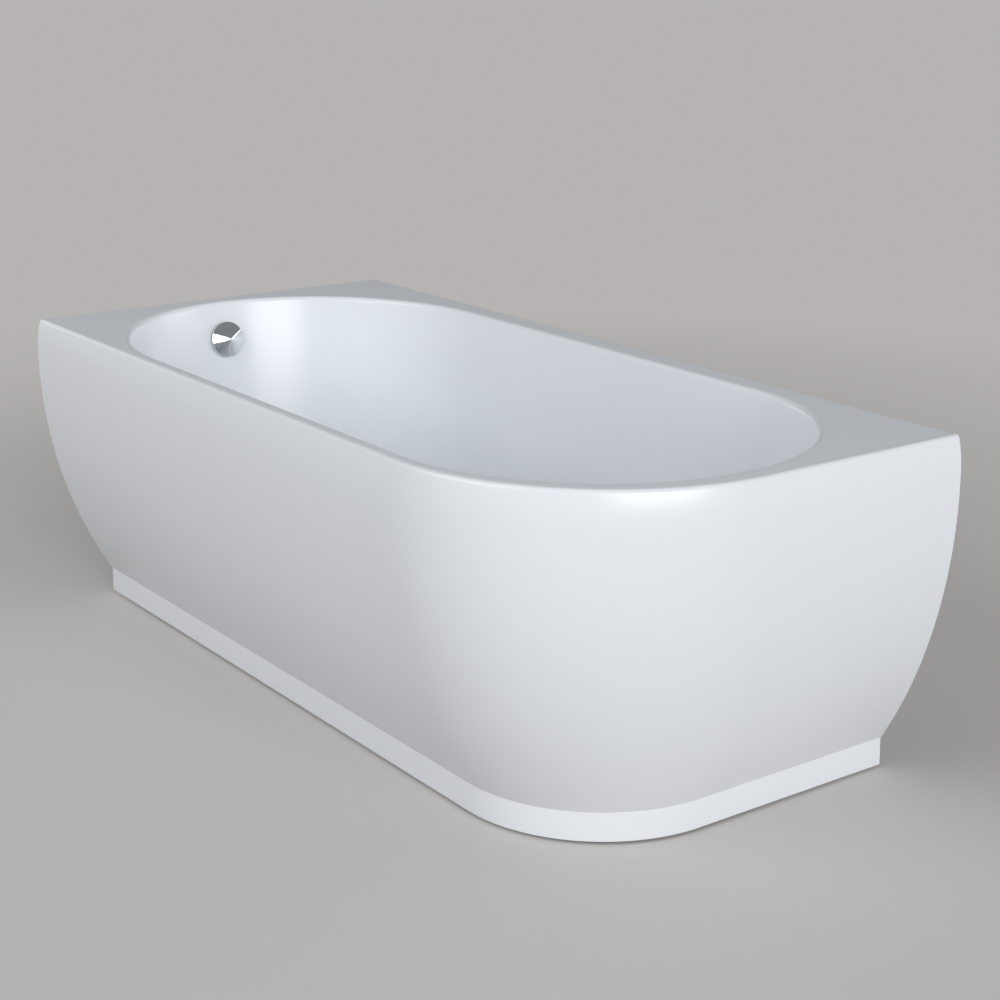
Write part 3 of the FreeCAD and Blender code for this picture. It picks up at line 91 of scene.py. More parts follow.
class BathtubSizes(bpy.types.PropertyGroup):
    """Driving sizes of the tub."""

    corner_radius: FloatProperty(
        name="Corner radius", description="Plan radius of the free corner at the widest line",
        default=0.400, min=0.05, unit="LENGTH")
    rim_front: FloatProperty(
        name="Front rim", description="Flat rim between the basin and the front",
        default=0.026, unit="LENGTH")
    rim_back: FloatProperty(
        name="Back rim", description="Flat rim between the basin and the back wall",
        default=0.042, unit="LENGTH")
    rim_head: FloatProperty(
        name="Head rim", description="Flat rim at the overflow end",
        default=0.036, unit="LENGTH")
    rim_end: FloatProperty(
        name="End rim", description="Flat rim at the free end",
        default=0.042, unit="LENGTH")
    bulge_drop: FloatProperty(
        name="Bulge drop", description="Widest line of the apron below the rim",
        default=0.057, unit="LENGTH")
    curl_radius: FloatProperty(
        name="Curl radius", description="Radius of the apron above its widest line",
        default=0.220, unit="LENGTH")
    lip_roll: FloatProperty(
        name="Lip roll", description="Small radius where the deck turns over the edge",
        default=0.008, unit="LENGTH")
    seam_drop: FloatProperty(
        name="Seam drop", description="Hairline between lip and apron below the rim",
        default=0.030, unit="LENGTH")
    flange_drop: FloatProperty(
        name="Wall flange", description="Height of the flange turned down at the walls",
        default=0.035, unit="LENGTH")
    flange_round: FloatProperty(
        name="Flange round", description="Width of the round between the deck and the wall flange",
        default=0.004, unit="LENGTH")
    deck_band: FloatProperty(
        name="Deck band", description="Band of even faces along the edges of the deck",
        default=0.006, unit="LENGTH")
    floor_band: FloatProperty(
        name="Floor band", description="Band of even faces along the edge of the basin floor",
        default=0.004, unit="LENGTH")
    acrylic: FloatProperty(
        name="Acrylic sheet", description="Thickness of the acrylic",
        default=0.006, unit="LENGTH")
    laminate: FloatProperty(
        name="Laminate", description="Thickness of the glass fibre on the back of the basin",
        default=0.005, unit="LENGTH")
    bond_gap: FloatProperty(
        name="Bond gap", description="Hairline between two sheets that lie on each other",
        default=0.0002, unit="LENGTH")
    depth: FloatProperty(
        name="Basin depth", description="From the rim to the basin floor",
        default=0.4358, unit="LENGTH")
    edge_round: FloatProperty(
        name="Edge round", description="Radius of the basin's mouth",
        default=0.010, unit="LENGTH")
    bottom_round: FloatProperty(
        name="Bottom round", description="Radius between basin walls and floor",
        default=0.110, unit="LENGTH")
    head_oval: FloatProperty(
        name="Head oval", description="Length of the oval overflow end",
        default=0.420, unit="LENGTH")
    side_slope: FloatProperty(
        name="Side slope", description="Lean of the long walls",
        default=math.radians(7.2), subtype="ANGLE")
    head_slope: FloatProperty(
        name="Head slope", description="Lean of the overflow end",
        default=math.radians(11), subtype="ANGLE")
    backrest_slope: FloatProperty(
        name="Backrest slope", description="Lean of the backrest",
        default=math.radians(25), subtype="ANGLE")
    apron_wall: FloatProperty(
        name="Apron wall", description="Thickness of the apron",
        default=0.005, unit="LENGTH")
    apron_tuck: FloatProperty(
        name="Apron tuck", description="How far the apron draws in at the plinth",
        default=0.143, unit="LENGTH")
    apron_flange: FloatProperty(
        name="Apron flange", description="Width of the flange on the plinth",
        default=0.024, unit="LENGTH")
    apron_return: FloatProperty(
        name="Apron return", description="Inward flange at the walls",
        default=0.020, unit="LENGTH")
    tongue_height: FloatProperty(
        name="Tongue height", description="Rise of the apron's tongue behind the lip",
        default=0.019, unit="LENGTH")
    tongue_lean: FloatProperty(
        name="Tongue lean", description="How far the tongue leans inwards on its rise",
        default=0.0034, unit="LENGTH")
    plinth_height: FloatProperty(
        name="Plinth height", description="Top of the plinth over the floor",
        default=0.053, unit="LENGTH")
    plinth_gap: FloatProperty(
        name="Plinth gap", description="Shadow gap under the plinth",
        default=0.005, unit="LENGTH")
    plinth_step: FloatProperty(
        name="Plinth step", description="How far the plinth stands back from the foot of the apron",
        default=0.001, unit="LENGTH")
    plinth_edge: FloatProperty(
        name="Plinth edge", description="Radius of the plinth's upper edge",
        default=0.0015, unit="LENGTH")
    overflow_drop: FloatProperty(
        name="Overflow drop", description="Overflow centre below the rim",
        default=0.078, unit="LENGTH")
    drain_offset: FloatProperty(
        name="Drain offset", description="Drain centre from the end of the basin floor",
        default=0.080, unit="LENGTH")
    round_steps: IntProperty(
        name="Round steps", description="Divisions of the large rounds",
        default=56, min=8)


class BathtubPlumbing(bpy.types.PropertyGroup):
    """Sizes of the openings, the knob, the hose and the cable."""

    opening_radius: FloatProperty(
        name="Opening", description="Radius of the holes for overflow and drain in the acrylic",
        default=0.026, unit="LENGTH")
    overflow_seat: FloatProperty(
        name="Overflow seat", description="Radius of the flat that the overflow ring lies on",
        default=0.034, unit="LENGTH")
    drain_seat: FloatProperty(
        name="Drain seat", description="Radius of the recess that the drain ring lies in",
        default=0.0353, unit="LENGTH")
    drain_sink: FloatProperty(
        name="Drain recess", description="Depth of the recess for the drain ring",
        default=0.0025, unit="LENGTH")
    laminate_overflow: FloatProperty(
        name="Laminate at the overflow", description="Radius of the hole in the laminate at the overflow",
        default=0.036, unit="LENGTH")
    laminate_drain: FloatProperty(
        name="Laminate at the drain", description="Radius of the hole in the laminate at the drain",
        default=0.0262, unit="LENGTH")
    knob_radius: FloatProperty(
        name="Knob radius", description="Outer radius of the knob",
        default=0.037, unit="LENGTH")
    knob_point: FloatProperty(
        name="Knob point", description="Blunt point of the knob above the overflow ring's seat",
        default=0.023, unit="LENGTH")
    knob_edge: FloatProperty(
        name="Knob edge", description="Where the knob's cone meets its rim, above the seat",
        default=0.011, unit="LENGTH")
    knob_under: FloatProperty(
        name="Knob underside", description="Lower edge of the knob's rim above the seat",
        default=0.007, unit="LENGTH")
    knob_wall: FloatProperty(
        name="Knob wall", description="Wall of the knob's rim",
        default=0.002, unit="LENGTH")
    knob_ceiling: FloatProperty(
        name="Knob ceiling", description="Inner top of the knob above the seat",
        default=0.0164, unit="LENGTH")
    boss_radius: FloatProperty(
        name="Boss radius", description="Outer radius of the boss in the knob",
        default=0.008, unit="LENGTH")
    boss_end: FloatProperty(
        name="Boss end", description="Lower end of the boss above the seat",
        default=0.0084, unit="LENGTH")
    boss_bore: FloatProperty(
        name="Boss bore", description="Radius of the bore for the spindle",
        default=0.0041, unit="LENGTH")
    spigot_reach: FloatProperty(
        name="Spigot reach", description="Lower end of the overflow's spigot, down the slope",
        default=0.054, unit="LENGTH")
    spigot_depth: FloatProperty(
        name="Spigot depth", description="Axis of the overflow spigot behind the basin's face",
        default=0.033, unit="LENGTH")
    port_reach: FloatProperty(
        name="Port reach", description="End of the drain's hose port from the drain's axis",
        default=0.046, unit="LENGTH")
    port_drop: FloatProperty(
        name="Port drop", description="Axis of the drain's ports below the basin floor",
        default=0.046, unit="LENGTH")
    hose_valley: FloatProperty(
        name="Hose valley", description="Outer radius of the hose between its ribs",
        default=0.0124, unit="LENGTH")
    hose_crest: FloatProperty(
        name="Hose crest", description="Outer radius of the hose on its ribs",
        default=0.0140, unit="LENGTH")
    hose_wall: FloatProperty(
        name="Hose wall", description="Thickness of the hose",
        default=0.0014, unit="LENGTH")
    rib_pitch: FloatProperty(
        name="Rib pitch", description="Distance from rib to rib",
        default=0.005, unit="LENGTH")
    hose_cuff: FloatProperty(
        name="Hose cuff", description="Plain length at each end of the hose",
        default=0.028, unit="LENGTH")
    union_bore: FloatProperty(
        name="Union bore", description="Bore radius of the hose nuts",
        default=0.0133, unit="LENGTH")
    union_radius: FloatProperty(
        name="Union radius", description="Outer radius of the hose nuts over their grip ribs",
        default=0.0181, unit="LENGTH")
    union_height: FloatProperty(
        name="Union height", description="Length of the hose nuts",
        default=0.018, unit="LENGTH")
    union_ribs: IntProperty(
        name="Union ribs", description="Grip ribs round a hose nut",
        default=18, min=2)
    cable_radius: FloatProperty(
        name="Cable radius", description="Outer radius of the cable's sheath",
        default=0.0025, unit="LENGTH")
    cable_start: FloatProperty(
        name="Cable start", description="Upper end of the cable down the slope from the overflow's centre",
        default=0.032, unit="LENGTH")
    cable_offset: FloatProperty(
        name="Cable offset", description="Cable beside the overflow's centre",
        default=0.023, unit="LENGTH")
    cable_above_port: FloatProperty(
        name="Cable turn", description="Height of the cable's first turn above the drain's ports",
        default=0.024, unit="LENGTH")
    cable_swing: FloatProperty(
        name="Cable swing", description="Where the cable reaches the rail, before the drain",
        default=0.078, unit="LENGTH")
    cable_rail_gap: FloatProperty(
        name="Cable gap", description="Gap between the cable and the front rail",
        default=0.009, unit="LENGTH")
    cable_reach: FloatProperty(
        name="Cable end", description="Lower end of the cable from the drain's axis",
        default=0.0475, unit="LENGTH")


class BathtubCradle(bpy.types.PropertyGroup):
    """Sizes of the rails and the feet."""

    rail_wall: FloatProperty(
        name="Rail wall", description="Wall of the square tubes",
        default=0.002, unit="LENGTH")
    rail_round: FloatProperty(
        name="Rail round", description="Round on the edges of the square tubes",
        default=0.0028, unit="LENGTH")
    stud_hole: FloatProperty(
        name="Stud hole", description="Radius of the holes that the studs go through",
        default=0.0065, unit="LENGTH")
    stud_radius: FloatProperty(
        name="Stud radius", description="Outer radius of the studs' thread",
        default=0.006, unit="LENGTH")
    stud_pitch: FloatProperty(
        name="Stud pitch", description="Pitch of the studs' thread",
        default=0.00175, unit="LENGTH")
    stud_flats: FloatProperty(
        name="Stud flats", description="Width across flats of the studs' collars and nuts",
        default=0.018, unit="LENGTH")
    collar_height: FloatProperty(
        name="Collar height", description="Height of the six-sided collar over the pad",
        default=0.008, unit="LENGTH")
    nut_bore: FloatProperty(
        name="Nut bore", description="Bore radius of the nuts on the studs",
        default=0.0063, unit="LENGTH")
    weld_nut: FloatProperty(
        name="Weld nut", description="Height of the nut welded under the cross rail",
        default=0.010, unit="LENGTH")
    lock_nut: FloatProperty(
        name="Lock nut", description="Height of the nut that locks the stud below it",
        default=0.008, unit="LENGTH")
    nut_joint: FloatProperty(
        name="Nut joint", description="Hairline between the two nuts",
        default=0.00005, unit="LENGTH")
    pad_height: FloatProperty(
        name="Pad height", description="Top of the pad over the floor",
        default=0.018, unit="LENGTH")
    pad_radius: FloatProperty(
        name="Pad radius", description="Outer radius of the pad",
        default=0.025, unit="LENGTH")
    pad_rim: FloatProperty(
        name="Pad rim", description="Height of the pad's upright edge",
        default=0.0052, unit="LENGTH")
    pad_neck: FloatProperty(
        name="Pad neck", description="Radius of the pad's neck",
        default=0.013, unit="LENGTH")
    pad_socket: FloatProperty(
        name="Pad socket", description="Radius of the socket for the stud",
        default=0.0063, unit="LENGTH")
    socket_floor: FloatProperty(
        name="Socket floor", description="Bottom of the stud's socket over the floor",
        default=0.0079, unit="LENGTH")
    pad_hollow: FloatProperty(
        name="Pad hollow", description="Height of the hollow under the pad",
        default=0.001, unit="LENGTH")
    hollow_radius: FloatProperty(
        name="Hollow radius", description="Radius of the hollow under the pad at its top",
        default=0.010, unit="LENGTH")


class BathtubColours(bpy.types.PropertyGroup):
    """Colours of the finishes."""

    acrylic: FloatVectorProperty(
        name="Acrylic", description="White acrylic",
        default=(0.868, 0.888, 0.918), size=3, min=0, max=1, subtype="COLOR")
    laminate: FloatVectorProperty(
        name="Laminate", description="Glass fibre laminate",
        default=(0.60, 0.62, 0.50), size=3, min=0, max=1, subtype="COLOR")
    chipboard: FloatVectorProperty(
        name="Chipboard", description="Raw board",
        default=(0.52, 0.36, 0.20), size=3, min=0, max=1, subtype="COLOR")
    galvanised: FloatVectorProperty(
        name="Galvanised steel", description="Spangled zinc",
        default=(0.52, 0.54, 0.56), size=3, min=0, max=1, subtype="COLOR")
    zinc: FloatVectorProperty(
        name="Zinc plating", description="Bright zinc",
        default=(0.62, 0.62, 0.58), size=3, min=0, max=1, subtype="COLOR")
    chrome: FloatVectorProperty(
        name="Chrome", description="Polished chrome",
        default=(0.78, 0.80, 0.81), size=3, min=0, max=1, subtype="COLOR")
    stainless: FloatVectorProperty(
        name="Stainless steel", description="Satin stainless steel",
        default=(0.56, 0.55, 0.53), size=3, min=0, max=1, subtype="COLOR")
    brass: FloatVectorProperty(
        name="Brass", description="Turned brass",
        default=(0.66, 0.45, 0.17), size=3, min=0, max=1, subtype="COLOR")
    white_plastic: FloatVectorProperty(
        name="White plastic", description="Moulded white plastic",
        default=(0.78, 0.78, 0.75), size=3, min=0, max=1, subtype="COLOR")
    grey_plastic: FloatVectorProperty(
        name="Grey plastic", description="Moulded grey plastic",
        default=(0.19, 0.20, 0.22), size=3, min=0, max=1, subtype="COLOR")
    black_plastic: FloatVectorProperty(
        name="Black plastic", description="Moulded black plastic",
        default=(0.014, 0.014, 0.016), size=3, min=0, max=1, subtype="COLOR")
    rubber: FloatVectorProperty(
        name="Rubber", description="Black sealing rubber",
        default=(0.018, 0.018, 0.018), size=3, min=0, max=1, subtype="COLOR")
    floor: FloatVectorProperty(
        name="Floor", description="Pale studio floor",
        default=(0.485, 0.46, 0.445), size=3, min=0, max=1, subtype="COLOR")
    far_floor: FloatVectorProperty(
        name="Far floor", description="Even tone that the floor takes far off",
        default=(1.0, 0.97, 0.945), size=3, min=0, max=1, subtype="COLOR")
    lamps: FloatVectorProperty(
        name="Lamps", description="Colour of the lamps",
        default=(0.955, 0.98, 1.0), size=3, min=0, max=1, subtype="COLOR")
    sky: FloatVectorProperty(
        name="Sky", description="Colour of the even light all round",
        default=(0.95, 0.975, 1.0), size=3, min=0, max=1, subtype="COLOR")


class BathtubStudio(bpy.types.PropertyGroup):
    """Camera, light and floor."""

    camera_place: FloatVectorProperty(
        name="Camera", description="Where the camera stands",
        default=(2.802, -1.905, 1.367), size=3, subtype="TRANSLATION")
    camera_yaw: FloatProperty(
        name="Yaw", description="Turn of the camera from the +Y direction",
        default=math.radians(54.0), subtype="ANGLE")
    camera_pitch: FloatProperty(
        name="Pitch", description="Tilt of the camera below the horizon",
        default=math.radians(10.7), subtype="ANGLE")
    camera_roll: FloatProperty(
        name="Roll", description="Roll of the camera",
        default=math.radians(0.08), subtype="ANGLE")
    lens: FloatProperty(
        name="Lens", description="Focal length",
        default=70.27, unit="CAMERA")
    sensor: FloatProperty(
        name="Sensor", description="Width of the camera's frame",
        default=36, unit="CAMERA")
    shift: FloatProperty(
        name="Shift", description="Upright shift of the lens",
        default=-0.2, subtype="FACTOR")
    sight: FloatProperty(
        name="Sight", description="How far the camera sees",
        default=200, unit="LENGTH")
    end_lamp: FloatProperty(
        name="End lamp", description="Power of the large lamp facing the free end",
        default=550, unit="POWER")
    end_lamp_place: FloatVectorProperty(
        name="End lamp place", description="Middle of the end lamp",
        default=(9.0, -1.9, 3.1), size=3, subtype="TRANSLATION")
    end_lamp_size: FloatVectorProperty(
        name="End lamp size", description="Width and height of the end lamp",
        default=(6.7, 4.4), size=2, unit="LENGTH")
    front_lamp: FloatProperty(
        name="Front lamp", description="Power of the soft lamp facing the front",
        default=88, unit="POWER")
    front_lamp_place: FloatVectorProperty(
        name="Front lamp place", description="Middle of the front lamp",
        default=(-0.5, -4.3, 3.0), size=3, subtype="TRANSLATION")
    front_lamp_size: FloatVectorProperty(
        name="Front lamp size", description="Width and height of the front lamp",
        default=(4.0, 2.4), size=2, unit="LENGTH")
    back_lamp: FloatProperty(
        name="Back lamp", description="Power of the low lamp behind the tub",
        default=44, unit="POWER")
    back_lamp_place: FloatVectorProperty(
        name="Back lamp place", description="Middle of the back lamp",
        default=(1.2, 4.8, 1.2), size=3, subtype="TRANSLATION")
    back_lamp_size: FloatVectorProperty(
        name="Back lamp size", description="Width and height of the back lamp",
        default=(3.0, 1.6), size=2, unit="LENGTH")
    head_lamp: FloatProperty(
        name="Head lamp", description="Power of the low lamp beyond the head end",
        default=22, unit="POWER")
    head_lamp_place: FloatVectorProperty(
        name="Head lamp place", description="Middle of the head lamp",
        default=(-4.6, -0.6, 1.2), size=3, subtype="TRANSLATION")
    head_lamp_size: FloatVectorProperty(
        name="Head lamp size", description="Width and height of the head lamp",
        default=(2.4, 1.6), size=2, unit="LENGTH")
    lamp_aim: FloatVectorProperty(
        name="Lamp aim", description="Spot that all lamps face",
        default=(0, 0, 0.4), size=3, subtype="TRANSLATION")
    sky: FloatProperty(
        name="Surrounding light", description="Strength of the even light all round",
        default=0.26, subtype="FACTOR")
    floor_radius: FloatProperty(
        name="Floor radius", description="Radius of the round floor",
        default=60, unit="LENGTH")
    fade_start: FloatProperty(
        name="Fade start", description="Where the floor begins to fade to its even tone",
        default=1.3, unit="LENGTH")
    fade_end: FloatProperty(
        name="Fade end", description="Where the floor has its even tone",
        default=3.6, unit="LENGTH")
    far_glow: FloatProperty(
        name="Far glow", description="Strength of the even tone",
        default=0.47, subtype="FACTOR")


# Outline figures that follow from the sizes

class Outline:
    """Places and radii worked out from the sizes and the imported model's box."""

    def __init__(self, sizes):
        low, high = cad_box
        self.left = low.x
        self.right = high.x
        self.front = low.y
        self.back = high.y
        self.height = high.z
        self.corner_x = self.right - sizes.corner_radius
        self.corner_y = self.front + sizes.corner_radius
        self.widest_z = self.height - sizes.bulge_drop
        self.seam_z = self.height - sizes.seam_drop
        rise = self.widest_z - sizes.plinth_height
        self.belly_radius = (rise ** 2 + sizes.apron_tuck ** 2) / (2 * sizes.apron_tuck)
        self.belly_turn = math.asin(rise / self.belly_radius)
        self.roll_z = self.height - sizes.lip_roll
        lift = self.roll_z - self.widest_z
        span = math.sqrt((sizes.curl_radius - sizes.lip_roll) ** 2 - lift ** 2)
        self.roll_inset = sizes.curl_radius - span
        self.roll_turn = math.atan2(lift, span)
        self.seam_turn = math.asin((self.seam_z - self.widest_z) / sizes.curl_radius)
        self.basin_half = (self.back - self.front - sizes.rim_front - sizes.rim_back) / 2
        self.basin_y = self.front + sizes.rim_front + self.basin_half
        self.mouth_left = self.left + sizes.rim_head
        self.mouth_right = self.right - sizes.rim_end
        self.oval_left = self.mouth_left + sizes.head_oval
        self.oval_right = self.mouth_right - self.basin_half
        self.floor_z = self.height - sizes.depth
        self.floor_left = self.mouth_left + wall_inset(sizes, sizes.depth, sizes.head_slope)
        self.drain = Vector((self.floor_left + sizes.drain_offset, self.basin_y, self.floor_z))
        overflow_x = self.mouth_left + wall_inset(sizes, sizes.overflow_drop, sizes.head_slope)
        centre = Vector((overflow_x, self.basin_y, self.height - sizes.overflow_drop))
        lean = Matrix.Rotation(quarter_turn - sizes.head_slope, 4, "Y")
        self.overflow = Matrix.Translation(centre) @ lean


def wall_inset(sizes, down, slope, skin=0.0):
    """How far a basin wall stands in from the mouth at a depth, or a skin outside it."""
    edge = sizes.edge_round
    if skin == 0 and down < edge * (1 - math.sin(slope)):
        return math.sqrt(edge ** 2 - (edge - down) ** 2)
    top = edge * (1 / math.cos(slope) - math.tan(slope))
    middle = sizes.depth - sizes.bottom_round
    radius = sizes.bottom_round + skin
    if down < middle + radius * math.sin(slope):
        return top + down * math.tan(slope) - skin / math.cos(slope)
    tangent = sizes.bottom_round * math.tan((quarter_turn - slope) / 2)
    foot = top + sizes.depth * math.tan(slope) + tangent
    return foot - math.sqrt(max(radius ** 2 - (down - middle) ** 2, 0))


def basin_spans(sizes, outline, down, skin):
    """Half width and the two oval lengths of the basin at a depth."""
    half = outline.basin_half - wall_inset(sizes, down, sizes.side_slope, skin)
    right = outline.mouth_right - wall_inset(sizes, down, sizes.backrest_slope, skin) - outline.oval_right
    left = outline.oval_left - outline.mouth_left - wall_inset(sizes, down, sizes.head_slope, skin)
    return half, right, left


def drop_behind_head(outline, spot, z):
    """Start of a line down the slope of the head wall, from a spot in the overflow's axes, and its foot."""
    start = outline.overflow @ Vector(spot)
    down = outline.overflow.to_3x3() @ Vector(along_x)
    return start, start + down * (z - start.z) / down.z


# Mesh helpers

def verts_of(geometry):
    """Vertices among some geometry."""
    return [part for part in geometry if isinstance(part, bmesh.types.BMVert)]


def edges_of(geometry):
    """Edges among some geometry."""
    return [part for part in geometry if isinstance(part, bmesh.types.BMEdge)]


def chain(bm, spots):
    """Joins a few corners by edges and returns the vertices."""
    verts = [bm.verts.new(spot) for spot in spots]
    for first, last in zip(verts, verts[1:]):
        bm.edges.new((first, last))
    return verts


def arc(bm, start, centre, axis, angle, steps):
    """Draws edges along the arc of a vertex and returns its last vertex."""
    spun = bmesh.ops.spin(bm, geom=[start], cent=centre, axis=axis, angle=angle, steps=steps)
    return verts_of(spun["geom_last"])[0]


def drawn_on(bm, last, spot):
    """Adds an edge from a vertex to a spot and returns the new vertex."""
    vert = bm.verts.new(spot)
    bm.edges.new((last, vert))
    return vert


def pulled(bm, edges, by=(0, 0, 0)):
    """Extrudes edges, moves the new ones and returns them with their vertices."""
    made = bmesh.ops.extrude_edge_only(bm, edges=edges)["geom"]
    bmesh.ops.translate(bm, verts=verts_of(made), vec=by)
    return made


def bevelled(bm, edges, width, segments):
    """Rounds edges by a width."""
    bmesh.ops.bevel(bm, geom=edges, offset=width, offset_type="OFFSET", segments=segments, profile=0.5,
                    affect="EDGES", material=-1, clamp_overlap=True)


def broken_edges(bm, edges, width):
    """Takes the edge off the sharp ones among some edges."""
    sharp = [edge for edge in edges if edge.is_manifold and edge.calc_face_angle() > sharp_angle]
    bevelled(bm, sharp, width, 2)


def turned(bm, points, steps):
    """Turns an outline, given as radii and heights, about Z."""
    verts = chain(bm, [(radius, 0, height) for radius, height in points])
    edges = [edge for edge in bm.edges if edge.verts[0] in verts and edge.verts[1] in verts]
    bmesh.ops.spin(bm, geom=verts + edges, axis=along_z, angle=full_turn, steps=steps, use_merge=True)


def corner_points(radius, height, offsets):
    """Points of a round at a corner of an outline, given as offsets from the sharp corner."""
    return [(radius + out, height + rise) for out, rise in offsets]


def merged(bm):
    """Closes the seams of a shape and turns its faces one way."""
    bmesh.ops.remove_doubles(bm, verts=bm.verts[:], dist=merge_distance)
    bmesh.ops.recalc_face_normals(bm, faces=bm.faces[:])


def facing_up(bm, spot_z):
    """Turns a sheet over if its face at a height looks down."""
    for face in bm.faces:
        if abs(face.calc_center_median().z - spot_z) < merge_distance:
            if face.normal.z < 0:
                bmesh.ops.reverse_faces(bm, faces=bm.faces[:])
            return


def linked(bm, name):
    """Makes a mesh object of a shape and puts it in the scene."""
    mesh = bpy.data.meshes.new(name)
    bm.to_mesh(mesh)
    bm.free()
    piece = bpy.data.objects.new(name, mesh)
    bpy.context.scene.collection.objects.link(piece)
    return piece


def shaded(mesh, crease):
    """Shades a mesh smooth, with creases past an angle in degrees."""
    mesh.shade_smooth()
    mesh.set_sharp_from_angle(angle=math.radians(crease))


def made_object(bm, name, crease=usual_crease):
    """Finishes a shape as a smooth object that is closed and faces outwards."""
    merged(bm)
    piece = linked(bm, name)
    shaded(piece.data, crease)
    return piece


def applied(piece, crease):
    """Bakes a piece's modifiers into its mesh."""
    bpy.context.view_layer.update()
    graph = bpy.context.evaluated_depsgraph_get()
    mesh = bpy.data.meshes.new_from_object(piece.evaluated_get(graph))
    piece.modifiers.clear()
    old = piece.data
    piece.data = mesh
    bpy.data.meshes.remove(old)
    mesh.name = piece.name
    shaded(mesh, crease)


def thickened(piece, wall):
    """Gives a sheet its thickness behind the outer face."""
    solid = piece.modifiers.new("wall", "SOLIDIFY")
    solid.thickness = wall
    solid.offset = -1
    solid.use_even_offset = True


def holed(piece, rods, crease):
    """Cuts round holes, given as start, end and radius, and bakes the piece."""
    cutters = []
    for start, end, radius in rods:
        bm = bmesh.new()
        along = end - start
        bmesh.ops.create_cone(bm, cap_ends=True, segments=hole_steps, radius1=radius, radius2=radius,
                              depth=along.length)
        place = Matrix.Translation((start + end) / 2) @ along.to_track_quat("Z", "Y").to_matrix().to_4x4()
        bmesh.ops.transform(bm, matrix=place, verts=bm.verts[:])
        cutter = made_object(bm, "cutter")
        cut = piece.modifiers.new("hole", "BOOLEAN")
        cut.operation = "DIFFERENCE"
        cut.solver = "EXACT"
        cut.object = cutter
        cutters.append(cutter)
    applied(piece, crease)
    for cutter in cutters:
        bpy.data.objects.remove(cutter)
    bm = bmesh.new()
    bm.from_mesh(piece.data)
    bmesh.ops.dissolve_degenerate(bm, dist=merge_distance, edges=bm.edges[:])
    bm.to_mesh(piece.data)
    bm.free()


def seated(piece, body, nodes):
    """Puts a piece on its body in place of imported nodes, with their material slot and finish."""
    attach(piece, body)
    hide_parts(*nodes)
    slot = slot_of_node[nodes[0]]
    piece.data.materials.clear()
    piece.data.materials.append(bpy.data.materials[slot])
    return piece


def joined(bm, other):
    """Adds another shape to a shape."""
    extra = bpy.data.meshes.new("extra")
    other.to_mesh(extra)
    other.free()
    bm.from_mesh(extra)
    bpy.data.meshes.remove(extra)


def repeated(template, places):
    """One shape that holds a copy of the template at every place."""
    whole = bmesh.new()
    pattern = bpy.data.meshes.new("pattern")
    template.to_mesh(pattern)
    template.free()
    for place in places:
        copy = pattern.copy()
        copy.transform(place)
        whole.from_mesh(copy)
        bpy.data.meshes.remove(copy)
    bpy.data.meshes.remove(pattern)
    return whole


# Basin and apron forms

def round_free_sides(bm, outline, steps):
    """Carries the profile in the mesh along the front, round the free corner and along the free end."""
    run = pulled(bm, bm.edges[:], (outline.corner_x - outline.left, 0, 0))
    hub = (outline.corner_x, outline.corner_y, 0)
    spun = bmesh.ops.spin(bm, geom=verts_of(run) + edges_of(run), cent=hub, axis=along_z,
                          angle=quarter_turn, steps=steps)
    pulled(bm, edges_of(spun["geom_last"]), (0, outline.back - outline.corner_y, 0))


def plan_ring(bm, sizes, outline, down, skin):
    """Plan outline of the basin at a depth: straight sides, an oval head end and a round foot end."""
    before = set(bm.edges)
    half, right_oval, left_oval = basin_spans(sizes, outline, down, skin)
    z = outline.height - down
    steps = sizes.round_steps
    start = bm.verts.new((outline.oval_right, outline.basin_y - half, z))
    right = arc(bm, start, (outline.oval_right, outline.basin_y, z), along_z, math.pi, steps)
    far = drawn_on(bm, right, (outline.oval_left, outline.basin_y + half, z))
    near = arc(bm, far, (outline.oval_left, outline.basin_y, z), along_z, math.pi, steps)
    bm.edges.new((near, start))
    made = [edge for edge in bm.edges if edge not in before]
    straight = [edge for edge in made if edge.calc_length() > sizes.head_oval]
    stretched(bm, made, outline, 1, right_oval / half, left_oval / half)
    bmesh.ops.subdivide_edges(bm, edges=straight, cuts=steps // 2)
    return [edge for edge in bm.edges if edge not in before]


def stretched(bm, edges, outline, across, right, left):
    """Scales a plan ring: across about its middle line, its two ends about their oval centres."""
    verts = list(dict.fromkeys(vert for edge in edges for vert in edge.verts))
    middle = Matrix.Translation((0, -outline.basin_y, 0))
    bmesh.ops.scale(bm, vec=(1, across, 1), space=middle, verts=verts)
    ends = (
        (outline.oval_right, right, [vert for vert in verts if vert.co.x > outline.oval_right]),
        (outline.oval_left, left, [vert for vert in verts if vert.co.x < outline.oval_left]),
    )
    for centre, share, group in ends:
        bmesh.ops.scale(bm, vec=(share, 1, 1), space=Matrix.Translation((-centre, 0, 0)), verts=group)


def drawn_down(bm, sizes, outline, ring, downs, skin):
    """Draws a plan ring down through a list of depths and returns the last ring."""
    for above, below in zip(downs, downs[1:]):
        ring = edges_of(pulled(bm, ring, (0, 0, above - below)))
        before = basin_spans(sizes, outline, above, skin)
        after = basin_spans(sizes, outline, below, skin)
        stretched(bm, ring, outline, *[new / old for old, new in zip(before, after)])
    return ring


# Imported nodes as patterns

def packed_shape(node):
    """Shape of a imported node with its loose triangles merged."""
    bm = bmesh.new()
    bm.from_mesh(frame["nodes"][node].data)
    bmesh.ops.remove_doubles(bm, verts=bm.verts[:], dist=merge_distance)
    return bm


def packed_box(node):
    """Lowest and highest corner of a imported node."""
    return [Vector(corner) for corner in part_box(node)]


def foot_spot(number):
    """Middle of a levelling foot in plan, on the floor."""
    low, high = packed_box(f"foot_stud_{number}")
    return Vector(((low.x + high.x) / 2, (low.y + high.y) / 2, 0))


